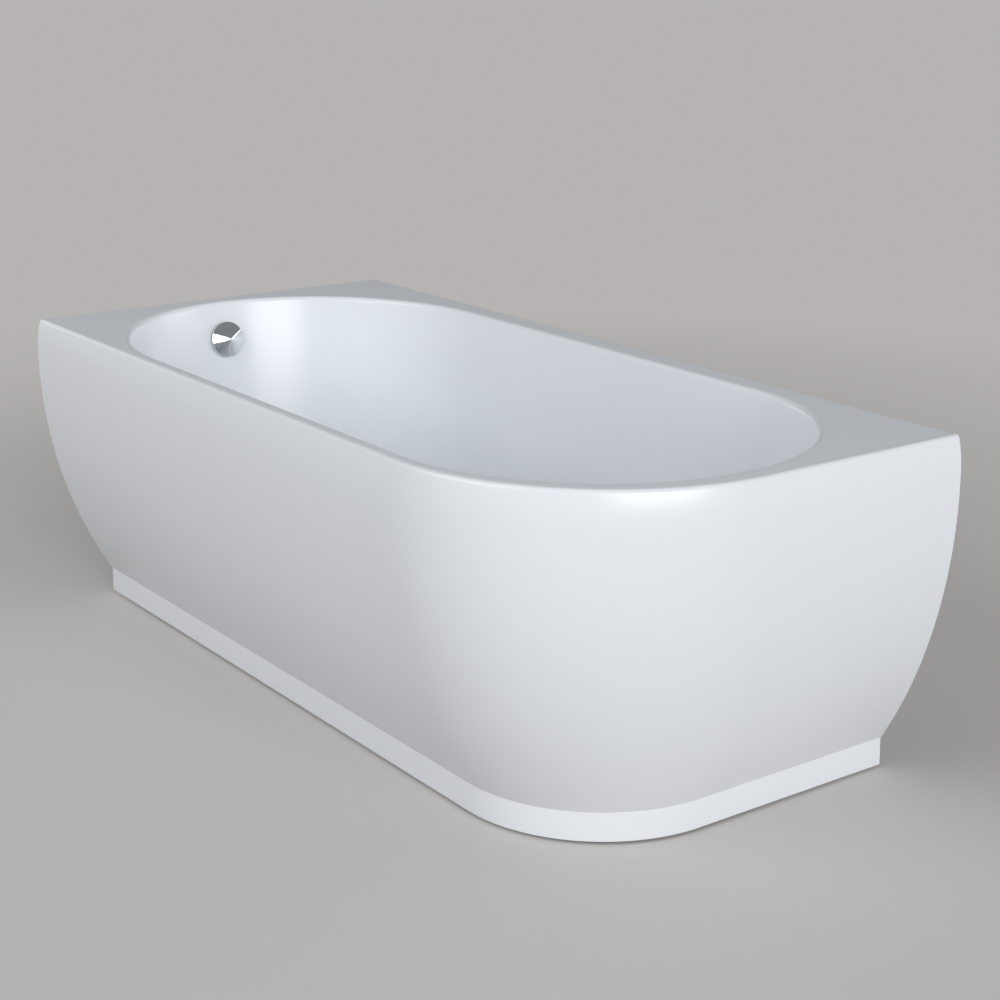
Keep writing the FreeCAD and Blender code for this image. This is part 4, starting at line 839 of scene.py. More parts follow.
def box_of(spots):
    """Lowest and highest corner of some spots."""
    low = Vector([min(spot[side] for spot in spots) for side in range(3)])
    high = Vector([max(spot[side] for spot in spots) for side in range(3)])
    return low, high


def solids_of(node):
    """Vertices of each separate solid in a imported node."""
    bm = packed_shape(node)
    waiting = dict.fromkeys(bm.verts)
    solids = []
    while waiting:
        reached = [next(iter(waiting))]
        del waiting[reached[0]]
        solid = []
        while reached:
            vert = reached.pop()
            solid.append(vert.co.copy())
            for link in vert.link_edges:
                other = link.other_vert(vert)
                if other in waiting:
                    del waiting[other]
                    reached.append(other)
        solids.append(solid)
    bm.free()
    return solids


def headed_places(node, tilt=None):
    """Place of each screw of a node: the underside of its head, with the head pointing along Z."""
    head_share = 0.98
    places = []
    for solid in solids_of(node):
        spots = [tilt.inverted() @ spot for spot in solid] if tilt else solid
        low, high = box_of(spots)
        span = high - low
        gaps = [abs(span[side - 2] - span[side - 1]) for side in range(3)]
        side = gaps.index(min(gaps))
        middle = (low + high) / 2
        reach = [(Vector([0 if k == side else spot[k] - middle[k] for k in range(3)]).length, spot[side])
                 for spot in spots]
        widest = max(reach)[0]
        head = [at for far, at in reach if far > head_share * widest]
        end = 1 if sum(head) / len(head) > middle[side] else -1
        axis = Vector([end if k == side else 0 for k in range(3)])
        middle[side] = min(head) if end > 0 else max(head)
        place = Matrix.Translation(middle) @ axis.to_track_quat("Z", "Y").to_matrix().to_4x4()
        places.append(tilt @ place if tilt else place)
    return places


def refined(node, name, width):
    """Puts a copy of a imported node, with its sharp edges rounded, in the node's place."""
    bm = packed_shape(node)
    bmesh.ops.dissolve_limit(bm, angle_limit=flat_angle, verts=bm.verts[:], edges=bm.edges[:])
    broken_edges(bm, bm.edges, width)
    seated(made_object(bm, name), "tub", [node])


# Routes of hose and cable

def route_curve(spots):
    """Smooth curve that has the spots as its control points."""
    curve = bpy.data.curves.new("route", "CURVE")
    curve.dimensions = "3D"
    curve.resolution_u = 48
    spline = curve.splines.new("NURBS")
    spline.points.add(len(spots) - 1)
    for control, spot in zip(spline.points, spots):
        control.co = (*spot, 1)
    spline.order_u = 3
    spline.use_endpoint_u = True
    return curve


def curve_mesh(curve):
    """Mesh of a curve, which is then removed."""
    holder = bpy.data.objects.new("route", curve)
    bpy.context.scene.collection.objects.link(holder)
    bpy.context.view_layer.update()
    mesh = bpy.data.meshes.new_from_object(holder.evaluated_get(bpy.context.evaluated_depsgraph_get()))
    bpy.data.objects.remove(holder)
    bpy.data.curves.remove(curve)
    return mesh


def route_points(spots):
    """Points along the smooth curve through a list of control points."""
    mesh = curve_mesh(route_curve(spots))
    points = [vert.co.copy() for vert in mesh.vertices]
    bpy.data.meshes.remove(mesh)
    return points


# Screws, bolts and nuts

def rod(bm, radius, pitch, low, high, steps):
    """Threaded rod with a plain core and chamfered ends between two heights."""
    thread_share = 0.6
    half = 0.5 * pitch
    root = radius - thread_share * pitch
    turns = int((high - low) / pitch) - 3
    start = low + pitch
    thread = bmesh.new()
    first = chain(thread, [(root, 0, start), (radius, 0, start + half), (root, 0, start + pitch)])
    spun = bmesh.ops.spin(thread, geom=first + thread.edges[:], axis=along_z, dvec=(0, 0, pitch / steps),
                          angle=full_turn * turns, steps=steps * turns)
    for end in (first, verts_of(spun["geom_last"])):
        bmesh.ops.contextual_create(thread, geom=end)
    bmesh.ops.remove_doubles(thread, verts=thread.verts[:], dist=merge_distance)
    bmesh.ops.holes_fill(thread, edges=[edge for edge in thread.edges if edge.is_boundary], sides=0)
    joined(bm, thread)
    tip = root - half
    turned(bm, [
        (0, low), (tip, low), (root, low + half), (root, high - half), (tip, high), (0, high),
    ], steps)


def hex_nut(flats, bore, thick):
    """Six-sided nut with a bore, standing on Z zero."""
    bm = bmesh.new()
    bmesh.ops.create_circle(bm, radius=flats / math.sqrt(3), segments=6)
    bmesh.ops.subdivide_edges(bm, edges=bm.edges[:], cuts=3)
    bmesh.ops.create_circle(bm, radius=bore, segments=24)
    bmesh.ops.bridge_loops(bm, edges=bm.edges[:])
    made = bmesh.ops.extrude_face_region(bm, geom=bm.faces[:])
    bmesh.ops.translate(bm, verts=verts_of(made["geom"]), vec=(0, 0, thick))
    bmesh.ops.rotate(bm, verts=bm.verts[:], matrix=Matrix.Rotation(quarter_turn, 3, "Z"))
    bmesh.ops.recalc_face_normals(bm, faces=bm.faces[:])
    broken_edges(bm, bm.edges[:], hex_edge)
    return bm


def hex_bolt(flats, head, radius, length, pitch):
    """Six-sided bolt, its head standing on Z zero and its thread pointing down."""
    bm = bmesh.new()
    corner = flats / math.sqrt(3)
    bmesh.ops.create_cone(bm, cap_ends=True, segments=6, radius1=corner, radius2=corner, depth=head)
    bmesh.ops.translate(bm, verts=bm.verts[:], vec=(0, 0, head / 2))
    bmesh.ops.rotate(bm, verts=bm.verts[:], matrix=Matrix.Rotation(quarter_turn, 3, "Z"))
    broken_edges(bm, bm.edges[:], hex_edge)
    rod(bm, radius, pitch, -length, 0, 16)
    return bm


def pan_screw(head_radius, head, radius, length, pitch):
    """Round-headed screw with a cross slot, its head standing on Z zero and its thread pointing down."""
    dome_shares = ((0.62, 1), (0.84, 0.86), (0.96, 0.6), (1, 0.3), (1, 0.08), (0.97, 0), (0, 0))
    slot_share = 0.42
    slot_width_share = 0.09
    slot_depth_share = 0.5
    bm = bmesh.new()
    turned(bm, [(across * head_radius, rise * head) for across, rise in dome_shares], 32)
    bmesh.ops.remove_doubles(bm, verts=bm.verts[:], dist=merge_distance)
    round_edges = [edge for edge in bm.edges if edge.is_boundary]
    arm = slot_share * head_radius
    half = slot_width_share * head_radius
    spots = []
    for step in range(4):
        turn = Matrix.Rotation(-quarter_turn * step, 2)
        spots += [turn @ Vector(spot) for spot in ((half, half), (arm, half), (arm, -half))]
    verts = chain(bm, [(spot.x, spot.y, head) for spot in spots])
    bm.edges.new((verts[-1], verts[0]))
    cross = [edge for edge in bm.edges if edge.verts[0] in verts and edge.verts[1] in verts]
    bmesh.ops.triangle_fill(bm, use_beauty=True, edges=round_edges + cross, normal=along_z)
    low = edges_of(pulled(bm, cross, (0, 0, -slot_depth_share * head)))
    bmesh.ops.triangle_fill(bm, use_beauty=True, edges=low, normal=along_z)
    rod(bm, radius, pitch, -length, 0, 12)
    return bm


def ribbed_nut(bore, radius, height, ribs):
    """Plastic union nut with grip ribs, centred on its height."""
    proud = 0.0009
    chamfer = 0.0007
    rib_edge = 0.0003
    rib_size = (1.9 * proud, 0.0018, 0.82 * height)
    body = radius - proud
    half = height / 2
    bm = bmesh.new()
    turned(bm, [
        (bore, chamfer - half), (bore + chamfer, -half), (body - chamfer, -half), (body, chamfer - half),
        (body, half - chamfer), (body - chamfer, half), (bore + chamfer, half), (bore, half - chamfer),
        (bore, chamfer - half),
    ], 64)
    before = set(bm.verts) | set(bm.edges) | set(bm.faces)
    place = Matrix.Translation((body, 0, 0)) @ Matrix.Diagonal((*rib_size, 1))
    bmesh.ops.create_cube(bm, size=1, matrix=place)
    broken_edges(bm, [edge for edge in bm.edges if edge not in before], rib_edge)
    rib = [part for parts in (bm.verts, bm.edges, bm.faces) for part in parts if part not in before]
    bmesh.ops.spin(bm, geom=rib, axis=along_z, angle=full_turn * (ribs - 1) / ribs, steps=ribs - 1,
                   use_duplicate=True)
    return bm


# Material helpers

class Finish:
    """A node material read in Object coordinates."""

    def __init__(self, slot):
        self.material = bpy.data.materials.new(slot)
        self.material.use_nodes = True
        self.tree = self.material.node_tree
        self.shader = self.tree.nodes["Principled BSDF"]
        self.where = self.node("ShaderNodeTexCoord").outputs["Object"]

    def node(self, kind):
        """New node of a kind."""
        return self.tree.nodes.new(kind)

    def join(self, source, target):
        """Links two sockets."""
        self.tree.links.new(source, target)

    def set(self, **values):
        """Sets inputs of the shader, named in lower case with underscores."""
        for name, value in values.items():
            self.shader.inputs[name.replace("_", " ").title().replace("Ior", "IOR")].default_value = value

    def stretched(self, scale, turn=(0, 0, 0)):
        """Coordinates with their own turn, in degrees, and their own scale on each axis."""
        mapping = self.node("ShaderNodeMapping")
        mapping.vector_type = "TEXTURE"
        mapping.inputs["Rotation"].default_value = [math.radians(part) for part in turn]
        mapping.inputs["Scale"].default_value = [1 / part for part in scale]
        self.join(self.where, mapping.inputs["Vector"])
        return mapping.outputs["Vector"]

    def noise(self, scale, detail=3.0, where=None):
        """Cloudy pattern."""
        made = self.node("ShaderNodeTexNoise")
        made.inputs["Scale"].default_value = scale
        made.inputs["Detail"].default_value = detail
        self.join(where or self.where, made.inputs["Vector"])
        return made.outputs["Fac"]

    def cells(self, scale, where=None):
        """Pattern of cells."""
        made = self.node("ShaderNodeTexVoronoi")
        made.inputs["Scale"].default_value = scale
        self.join(where or self.where, made.inputs["Vector"])
        return made

    def channels(self, cells):
        """Separate tones of a pattern of cells."""
        made = self.node("ShaderNodeSeparateColor")
        self.join(cells.outputs["Color"], made.inputs["Color"])
        return made.outputs

    def ramp(self, factor, stops):
        """Colours along a factor."""
        made = self.node("ShaderNodeValToRGB")
        ramp = made.color_ramp
        while len(ramp.elements) < len(stops):
            ramp.elements.new(1)
        for element, (place, colour) in zip(ramp.elements, stops):
            element.position = place
            element.color = (*colour, 1)
        self.join(factor, made.inputs["Fac"])
        return made.outputs["Color"]

    def blended(self, factor, first, last):
        """Mixes two colours, or links, by a factor."""
        made = self.node("ShaderNodeMix")
        made.data_type = "RGBA"
        self.join(factor, made.inputs[0])
        for socket, value in ((made.inputs[6], first), (made.inputs[7], last)):
            if isinstance(value, bpy.types.NodeSocket):
                self.join(value, socket)
            else:
                socket.default_value = (*value, 1)
        return made.outputs[2]

    def combined(self, operation, first, last, clamp=False):
        """Sum or product of two factors."""
        made = self.node("ShaderNodeMath")
        made.operation = operation
        made.use_clamp = clamp
        self.join(first, made.inputs[0])
        self.join(last, made.inputs[1])
        return made.outputs["Value"]

    def ranged(self, factor, low, high, start=0.0, end=1.0):
        """Maps a factor from one range to another."""
        made = self.node("ShaderNodeMapRange")
        made.inputs["From Min"].default_value = start
        made.inputs["From Max"].default_value = end
        made.inputs["To Min"].default_value = low
        made.inputs["To Max"].default_value = high
        self.join(factor, made.inputs["Value"])
        return made.outputs["Result"]

    def colour(self, source):
        """Takes the base colour from a link."""
        self.join(source, self.shader.inputs["Base Color"])

    def roughness(self, source, low, high):
        """Takes the roughness from a factor."""
        self.join(self.ranged(source, low, high), self.shader.inputs["Roughness"])

    def bumped(self, height, strength, distance):
        """Adds a bump over the ones already there."""
        bump = self.node("ShaderNodeBump")
        bump.inputs["Strength"].default_value = strength
        bump.inputs["Distance"].default_value = distance
        self.join(height, bump.inputs["Height"])
        links = self.shader.inputs["Normal"].links
        if links:
            self.join(links[0].from_socket, bump.inputs["Normal"])
        self.join(bump.outputs["Normal"], self.shader.inputs["Normal"])


def shade(colour, share):
    """Lighter or darker share of a colour."""
    return tuple(min(part * share, 1) for part in colour)


def two_tones(colour, dark_share, light_share):
    """Stops of a ramp between two shares of a colour."""
    return [(0.3, shade(colour, dark_share)), (0.7, shade(colour, light_share))]


def acrylic_finish(colours):
    """Glossy white sheet that is very slightly wavy."""
    made = Finish("white_acrylic")
    made.set(metallic=0.0, ior=1.49, coat_weight=0.2, coat_roughness=0.2)
    made.colour(made.ramp(made.noise(scale=1.4, detail=2), two_tones(colours.acrylic, 0.985, 1)))
    made.roughness(made.noise(scale=4, detail=1), low=0.28, high=0.31)
    made.bumped(made.noise(scale=14, detail=1), strength=0.04, distance=0.001)


def laminate_finish(colours):
    """Chopped strands that lie all ways in cloudy resin."""
    strand_turns = ((35, 20, 10), (-50, 35, 60), (10, 70, -35), (75, -20, 25))
    strand_shares = (1.22, 0.84, 1.14, 0.9)
    strand_stops = [(0.54, (0, 0, 0)), (0.64, (1, 1, 1))]
    made = Finish("glass_fibre_laminate")
    made.set(metallic=0.0, ior=1.52)
    resin = made.noise(scale=6, detail=5)
    tone = made.ramp(resin, two_tones(colours.laminate, 0.86, 1.06))
    for turn, share in zip(strand_turns, strand_shares):
        strand = made.noise(scale=420, detail=1, where=made.stretched((1, 1, 0.07), turn))
        tone = made.blended(made.ramp(strand, strand_stops), tone, shade(colours.laminate, share))
        made.bumped(strand, strength=0.3, distance=0.0006)
    made.colour(tone)
    made.roughness(resin, low=0.34, high=0.6)
    made.bumped(made.noise(scale=26, detail=4), strength=0.4, distance=0.003)


def chipboard_finish(colours):
    """Flat chips of different tones."""
    raw = colours.chipboard
    made = Finish("chipboard")
    made.set(metallic=0.0)
    chips = made.cells(scale=130, where=made.stretched((0.6, 1, 2.2)))
    made.colour(made.ramp(made.channels(chips)["Red"], [
        (0.0, shade(raw, 0.55)), (0.35, raw), (0.75, shade(raw, 1.25)), (1.0, shade(raw, 1.6))]))
    made.roughness(made.noise(scale=60), low=0.65, high=0.9)
    made.bumped(chips.outputs["Distance"], strength=0.35, distance=0.0008)


def galvanised_finish(colours):
    """Zinc spangle with cells of different tone and gloss."""
    zinc = colours.galvanised
    made = Finish("galvanised_steel")
    made.set(metallic=1.0)
    spangle = made.channels(made.cells(scale=110))
    stops = [(0.0, shade(zinc, 0.82)), (0.5, zinc), (1.0, shade(zinc, 1.2))]
    made.colour(made.ramp(spangle["Green"], stops))
    made.roughness(spangle["Blue"], low=0.28, high=0.5)
    made.bumped(made.noise(scale=45, detail=3), strength=0.15, distance=0.0006)


def metal_finish(slot, colour, low, high, grain, depth):
    """Metal with a fine grain, cloudy gloss and a little tone."""
    made = Finish(slot)
    made.set(metallic=1.0)
    cloud = made.noise(scale=30, detail=4)
    made.colour(made.ramp(cloud, two_tones(colour, 0.92, 1.05)))
    made.roughness(cloud, low, high)
    made.bumped(made.noise(scale=grain, detail=3), strength=depth, distance=0.0002)


def plastic_finish(slot, colour, low, high):
    """Moulded plastic or rubber with a fine grain and a slight mottle."""
    made = Finish(slot)
    made.set(metallic=0.0, ior=1.5)
    made.colour(made.ramp(made.noise(scale=40, detail=3), two_tones(colour, 0.92, 1.08)))
    made.roughness(made.noise(scale=25, detail=3), low, high)
    made.bumped(made.noise(scale=900, detail=2), strength=0.12, distance=0.0002)


def floor_finish(colours, studio):
    """Pale floor that looks lighter than the light it throws on the object, and evenly light far off."""
    seen_share = 1.35
    made = Finish("studio_floor")
    made.set(metallic=0.0, specular_ior_level=0.0, emission_color=(*colours.far_floor, 1))
    rays = made.node("ShaderNodeLightPath").outputs
    seen = made.combined("ADD", rays["Is Camera Ray"], rays["Is Glossy Ray"], clamp=True)
    seen = made.combined("ADD", seen, rays["Is Transmission Ray"], clamp=True)
    reach = made.node("ShaderNodeVectorMath")
    reach.operation = "LENGTH"
    made.join(made.where, reach.inputs[0])
    far = made.ranged(reach.outputs["Value"], low=0.0, high=1.0,
                      start=studio.fade_start, end=studio.fade_end)
    dull = made.ramp(made.noise(scale=0.9, detail=5), two_tones(colours.floor, 0.985, 1.015))
    pale = made.blended(far, shade(colours.floor, seen_share), (0, 0, 0))
    made.colour(made.blended(seen, dull, pale))
    made.roughness(made.noise(scale=3, detail=3), low=0.75, high=0.9)
    glow = made.combined("MULTIPLY", made.ranged(far, low=0.0, high=studio.far_glow), seen)
    made.join(glow, made.shader.inputs["Emission Strength"])
    return made.material


# Operators

class BATHTUB_OT_stage(bpy.types.Operator):
    """Makes the camera, the soft lamps and the pale floor"""

    bl_idname = "bathtub.stage"
    bl_label = "Studio stage"

    def execute(self, context):
        scene = context.scene
        studio = scene.bathtub_studio
        colours = scene.bathtub_colours
        scene.view_settings.view_transform = "Standard"
        self.camera(scene, studio)
        self.lamp(scene, "end_lamp", studio.end_lamp, studio.end_lamp_place, studio.end_lamp_size)
        self.lamp(scene, "front_lamp", studio.front_lamp, studio.front_lamp_place, studio.front_lamp_size)
        self.lamp(scene, "back_lamp", studio.back_lamp, studio.back_lamp_place, studio.back_lamp_size)
        self.lamp(scene, "head_lamp", studio.head_lamp, studio.head_lamp_place, studio.head_lamp_size)
        world = bpy.data.worlds.new("even_light")
        world.use_nodes = True
        light = world.node_tree.nodes["Background"]
        light.inputs["Color"].default_value = (*colours.sky, 1)
        light.inputs["Strength"].default_value = studio.sky
        scene.world = world
        bm = bmesh.new()
        bmesh.ops.create_circle(bm, cap_ends=True, radius=studio.floor_radius, segments=96)
        floor = made_object(bm, "floor")
        floor.data.materials.append(floor_finish(colours, studio))
        return {"FINISHED"}

    def camera(self, scene, studio):
        """Camera on its place, turned, tilted and rolled."""
        camera = bpy.data.objects.new("camera", bpy.data.cameras.new("camera"))
        camera.data.lens = studio.lens
        camera.data.sensor_width = studio.sensor
        camera.data.shift_y = studio.shift
        camera.data.clip_end = studio.sight
        turn = Matrix.Rotation(studio.camera_yaw, 4, "Z")
        tilt = Matrix.Rotation(quarter_turn - studio.camera_pitch, 4, "X")
        roll = Matrix.Rotation(studio.camera_roll, 4, "Z")
        camera.matrix_world = Matrix.Translation(studio.camera_place) @ turn @ tilt @ roll
        scene.collection.objects.link(camera)
        scene.camera = camera

    def lamp(self, scene, name, power, place, size):
        """Large soft lamp that faces the tub."""
        data = bpy.data.lights.new(name, "AREA")
        data.shape = "RECTANGLE"
        data.size, data.size_y = size
        data.energy = power
        data.color = scene.bathtub_colours.lamps
        lamp = bpy.data.objects.new(name, data)
        lamp.location = place
        aim = Vector(scene.bathtub_studio.lamp_aim) - Vector(place)
        lamp.rotation_euler = aim.to_track_quat("-Z", "Y").to_euler()
        scene.collection.objects.link(lamp)


class BATHTUB_OT_finishes(bpy.types.Operator):
    """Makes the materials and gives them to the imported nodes"""

    bl_idname = "bathtub.finishes"
    bl_label = "Finishes"

    def execute(self, context):
        colours = context.scene.bathtub_colours
        for node in frame["nodes"].values():
            node.data.materials.clear()
        for slot in dict.fromkeys(slot_of_node.values()):
            plain = bpy.data.materials.get(slot)
            if plain:
                bpy.data.materials.remove(plain)
        acrylic_finish(colours)
        laminate_finish(colours)
        chipboard_finish(colours)
        galvanised_finish(colours)
        metal_finish("zinc_plated_steel", colours.zinc, low=0.25, high=0.42, grain=260, depth=0.15)
        metal_finish("chrome", colours.chrome, low=0.02, high=0.06, grain=40, depth=0.004)
        metal_finish("stainless_steel", colours.stainless, low=0.22, high=0.36, grain=420, depth=0.1)
        metal_finish("brass", colours.brass, low=0.2, high=0.34, grain=380, depth=0.1)
        plastic_finish("white_plastic", colours.white_plastic, low=0.34, high=0.46)
        plastic_finish("grey_plastic", colours.grey_plastic, low=0.38, high=0.5)
        plastic_finish("black_plastic", colours.black_plastic, low=0.4, high=0.55)
        plastic_finish("rubber", colours.rubber, low=0.62, high=0.8)
        for name, node in frame["nodes"].items():
            node.data.materials.append(bpy.data.materials[slot_of_node[name]])
        return {"FINISHED"}


class BATHTUB_OT_basin(bpy.types.Operator):
    """Forms the acrylic sheet: deck, rolled lip, wall flanges and basin"""

    bl_idname = "bathtub.basin"
    bl_label = "Acrylic basin"

    def execute(self, context):
        sizes = context.scene.bathtub_sizes
        outline = Outline(sizes)
        bm = bmesh.new()
        self.lip(bm, sizes, outline)
        rim = [edge for edge in bm.edges if edge.is_boundary and self.level(edge, outline.height)]
        wall_lines = self.wall_lines(bm, outline)
        mouth = plan_ring(bm, sizes, outline, 0, 0)
        deck = bmesh.ops.triangle_fill(bm, use_beauty=True, edges=rim + wall_lines + mouth, normal=along_z)
        faces = [part for part in deck["geom"] if isinstance(part, bmesh.types.BMFace)]
        bmesh.ops.inset_region(bm, faces=faces, thickness=sizes.deck_band, use_boundary=True,
                               use_even_offset=True)
        open_edges = [edge for edge in bm.edges if edge.is_boundary and self.level(edge, outline.height)]
        wall_lines = [edge for edge in open_edges if self.at_wall(edge, outline)]
        pulled(bm, wall_lines, (0, 0, -sizes.flange_drop))
        self.walls(bm, sizes, outline, [edge for edge in open_edges if edge not in wall_lines])
        self.floor(bm, sizes, outline)
        merged(bm)
        facing_up(bm, outline.height)
        bevelled(bm, [edge for edge in wall_lines if edge.is_valid], sizes.flange_round, 4)
        basin = linked(bm, "acrylic_basin")
        thickened(basin, sizes.acrylic)
        holed(basin, self.openings(context.scene.bathtub_plumbing, outline), sheet_crease)
        seated(basin, "tub", ["basin_shell"])
        return {"FINISHED"}

    @staticmethod
    def level(edge, height):
        """Whether an edge lies at a height."""
        return all(abs(vert.co.z - height) < merge_distance for vert in edge.verts)

    @staticmethod
    def at_wall(edge, outline):
        """Whether an edge lies along the head wall or the back wall."""
        at_head = all(abs(vert.co.x - outline.left) < merge_distance for vert in edge.verts)
        return at_head or all(abs(vert.co.y - outline.back) < merge_distance for vert in edge.verts)

    def lip(self, bm, sizes, outline):
        """Profile of the rolled lip from the deck down to the seam, carried round the free sides."""
        start = bm.verts.new((outline.left, outline.front + outline.roll_inset, outline.height))
        roll = (outline.left, outline.front + outline.roll_inset, outline.roll_z)
        last = arc(bm, start, roll, along_x, quarter_turn - outline.roll_turn, 8)
        curl = (outline.left, outline.front + sizes.curl_radius, outline.widest_z)
        arc(bm, last, curl, along_x, outline.roll_turn - outline.seam_turn, 4)
        round_free_sides(bm, outline, sizes.round_steps)

    def wall_lines(self, bm, outline):
        """Deck edges along the two walls, from the front lip round the wall corner to the end lip."""
        deck = [vert for vert in bm.verts if abs(vert.co.z - outline.height) < merge_distance]
        first = min(deck, key=lambda vert: vert.co.x)
        last = max(deck, key=lambda vert: vert.co.y)
        corner = bm.verts.new((outline.left, outline.back, outline.height))
        return [bm.edges.new((first, corner)), bm.edges.new((corner, last))]

    def walls(self, bm, sizes, outline, mouth):
        """Draws the mouth down: edge round, leaning walls and bottom round."""
        edge_steps = 8
        wall_steps = 16
        bottom_steps = 20
        edge = sizes.edge_round
        bend = sizes.depth - sizes.bottom_round
        downs = [edge * (1 - math.cos(quarter_turn * step / edge_steps)) for step in range(edge_steps + 1)]
        downs += [edge + (bend - edge) * step / wall_steps for step in range(1, wall_steps + 1)]
        downs += [bend + sizes.bottom_round * math.sin(quarter_turn * step / bottom_steps)
                  for step in range(1, bottom_steps + 1)]
        drawn_down(bm, sizes, outline, mouth, downs, 0)

    def floor(self, bm, sizes, outline):
        """Closes the flat floor inside a narrow band along the bottom round."""
        ring = [edge for edge in bm.edges if edge.is_boundary and self.level(edge, outline.floor_z)]
        ring = edges_of(pulled(bm, ring))
        spans = basin_spans(sizes, outline, sizes.depth, 0)
        stretched(bm, ring, outline, *[(span - sizes.floor_band) / span for span in spans])
        bmesh.ops.edgeloop_fill(bm, edges=ring)

    def openings(self, plumbing, outline):
        """Seats and holes of overflow and drain, as rods to cut."""
        inside = Vector((0, 0, 0.02))
        outside = Vector((0, 0, -0.04))
        sink = Vector((0, 0, -plumbing.drain_sink))
        hub = outline.overflow
        drain = Matrix.Translation(outline.drain)
        return [
            (hub.to_translation(), hub @ inside, plumbing.overflow_seat),
            (hub @ outside, hub @ inside, plumbing.opening_radius),
            (drain @ sink, drain @ inside, plumbing.drain_seat),
            (drain @ outside, drain @ inside, plumbing.opening_radius),
        ]


class BATHTUB_OT_apron(bpy.types.Operator):
    """Bends the apron: tongue behind the lip, curl, belly, bottom flange and the returns at the walls"""

    bl_idname = "bathtub.apron"
    bl_label = "Apron"

    def execute(self, context):
        sizes = context.scene.bathtub_sizes
        outline = Outline(sizes)
        bm = bmesh.new()
        belly_middle = Vector((outline.left, outline.front + outline.belly_radius, outline.widest_z))
        foot = self.curl_and_belly(bm, sizes, outline, belly_middle)
        below = outline.widest_z + merge_distance
        belly = [edge for edge in bm.edges if all(vert.co.z < below for vert in edge.verts)]
        drawn_on(bm, foot, foot.co + Vector((0, sizes.apron_flange, 0)))
        round_free_sides(bm, outline, sizes.round_steps)
        share = 1 - sizes.apron_return / outline.belly_radius
        verts = verts_of(pulled(bm, belly))
        bmesh.ops.scale(bm, vec=(1, share, share), space=Matrix.Translation(-belly_middle), verts=verts)
        beyond = outline.right - sizes.apron_tuck - merge_distance
        rear = [edge for edge in bm.edges if edge.is_boundary
                and all(abs(vert.co.y - outline.back) < merge_distance and vert.co.z < below
                        and vert.co.x > beyond for vert in edge.verts)]
        verts = verts_of(pulled(bm, rear))
        rear_middle = Vector((outline.right - outline.belly_radius, outline.back, outline.widest_z))
        bmesh.ops.scale(bm, vec=(share, 1, share), space=Matrix.Translation(-rear_middle), verts=verts)
        merged(bm)
        self.outward(bm, outline)
        apron = linked(bm, "apron_panel")
        thickened(apron, sizes.apron_wall)
        applied(apron, sheet_crease)
        seated(apron, "tub", ["apron"])
        return {"FINISHED"}

    def curl_and_belly(self, bm, sizes, outline, belly_middle):
        """Profile from the top of the tongue to the foot of the belly, whose vertex it returns."""
        curl_steps = 4
        belly_steps = 28
        curl_middle = Vector((outline.left, outline.front + sizes.curl_radius, outline.widest_z))
        away = Vector((0, -math.cos(outline.seam_turn), math.sin(outline.seam_turn)))
        behind_lip = curl_middle + away * (sizes.curl_radius - sizes.acrylic - sizes.bond_gap)
        lead = bm.verts.new(behind_lip + Vector((0, sizes.tongue_lean, sizes.tongue_height)))
        tongue = drawn_on(bm, lead, behind_lip)
        edge = drawn_on(bm, tongue, curl_middle + away * sizes.curl_radius)
        widest = arc(bm, edge, curl_middle, along_x, outline.seam_turn, curl_steps)
        return arc(bm, widest, belly_middle, along_x, outline.belly_turn, belly_steps)

    def outward(self, bm, outline):
        """Turns the sheet over if its front looks inwards."""
        near = 0.01
        for face in bm.faces:
            middle = face.calc_center_median()
            if abs(middle.y - outline.front) < near and middle.x < outline.corner_x:
                if face.normal.y > 0:
                    bmesh.ops.reverse_faces(bm, faces=bm.faces[:])
                return


class BATHTUB_OT_plinth(bpy.types.Operator):
    """Bends the plinth with its top flange and rounded edge"""

    bl_idname = "bathtub.plinth"
    bl_label = "Plinth"

    def execute(self, context):
        sizes = context.scene.bathtub_sizes
        outline = Outline(sizes)
        foot_y = outline.front + sizes.apron_tuck
        face_y = foot_y + sizes.plinth_step
        edge_z = sizes.plinth_height - sizes.plinth_edge
        bm = bmesh.new()
        low = bm.verts.new((outline.left, face_y, sizes.plinth_gap))
        high = drawn_on(bm, low, (outline.left, face_y, edge_z))
        last = arc(bm, high, (outline.left, face_y + sizes.plinth_edge, edge_z), along_x, -quarter_turn, 4)
        drawn_on(bm, last, (outline.left, foot_y + sizes.apron_flange, sizes.plinth_height))
        round_free_sides(bm, outline, sizes.round_steps)
        merged(bm)
        facing_up(bm, sizes.plinth_height)
        plinth = linked(bm, "plinth_band")
        thickened(plinth, sizes.apron_wall)
        applied(plinth, sheet_crease)
        seated(plinth, "tub", ["plinth"])
        return {"FINISHED"}


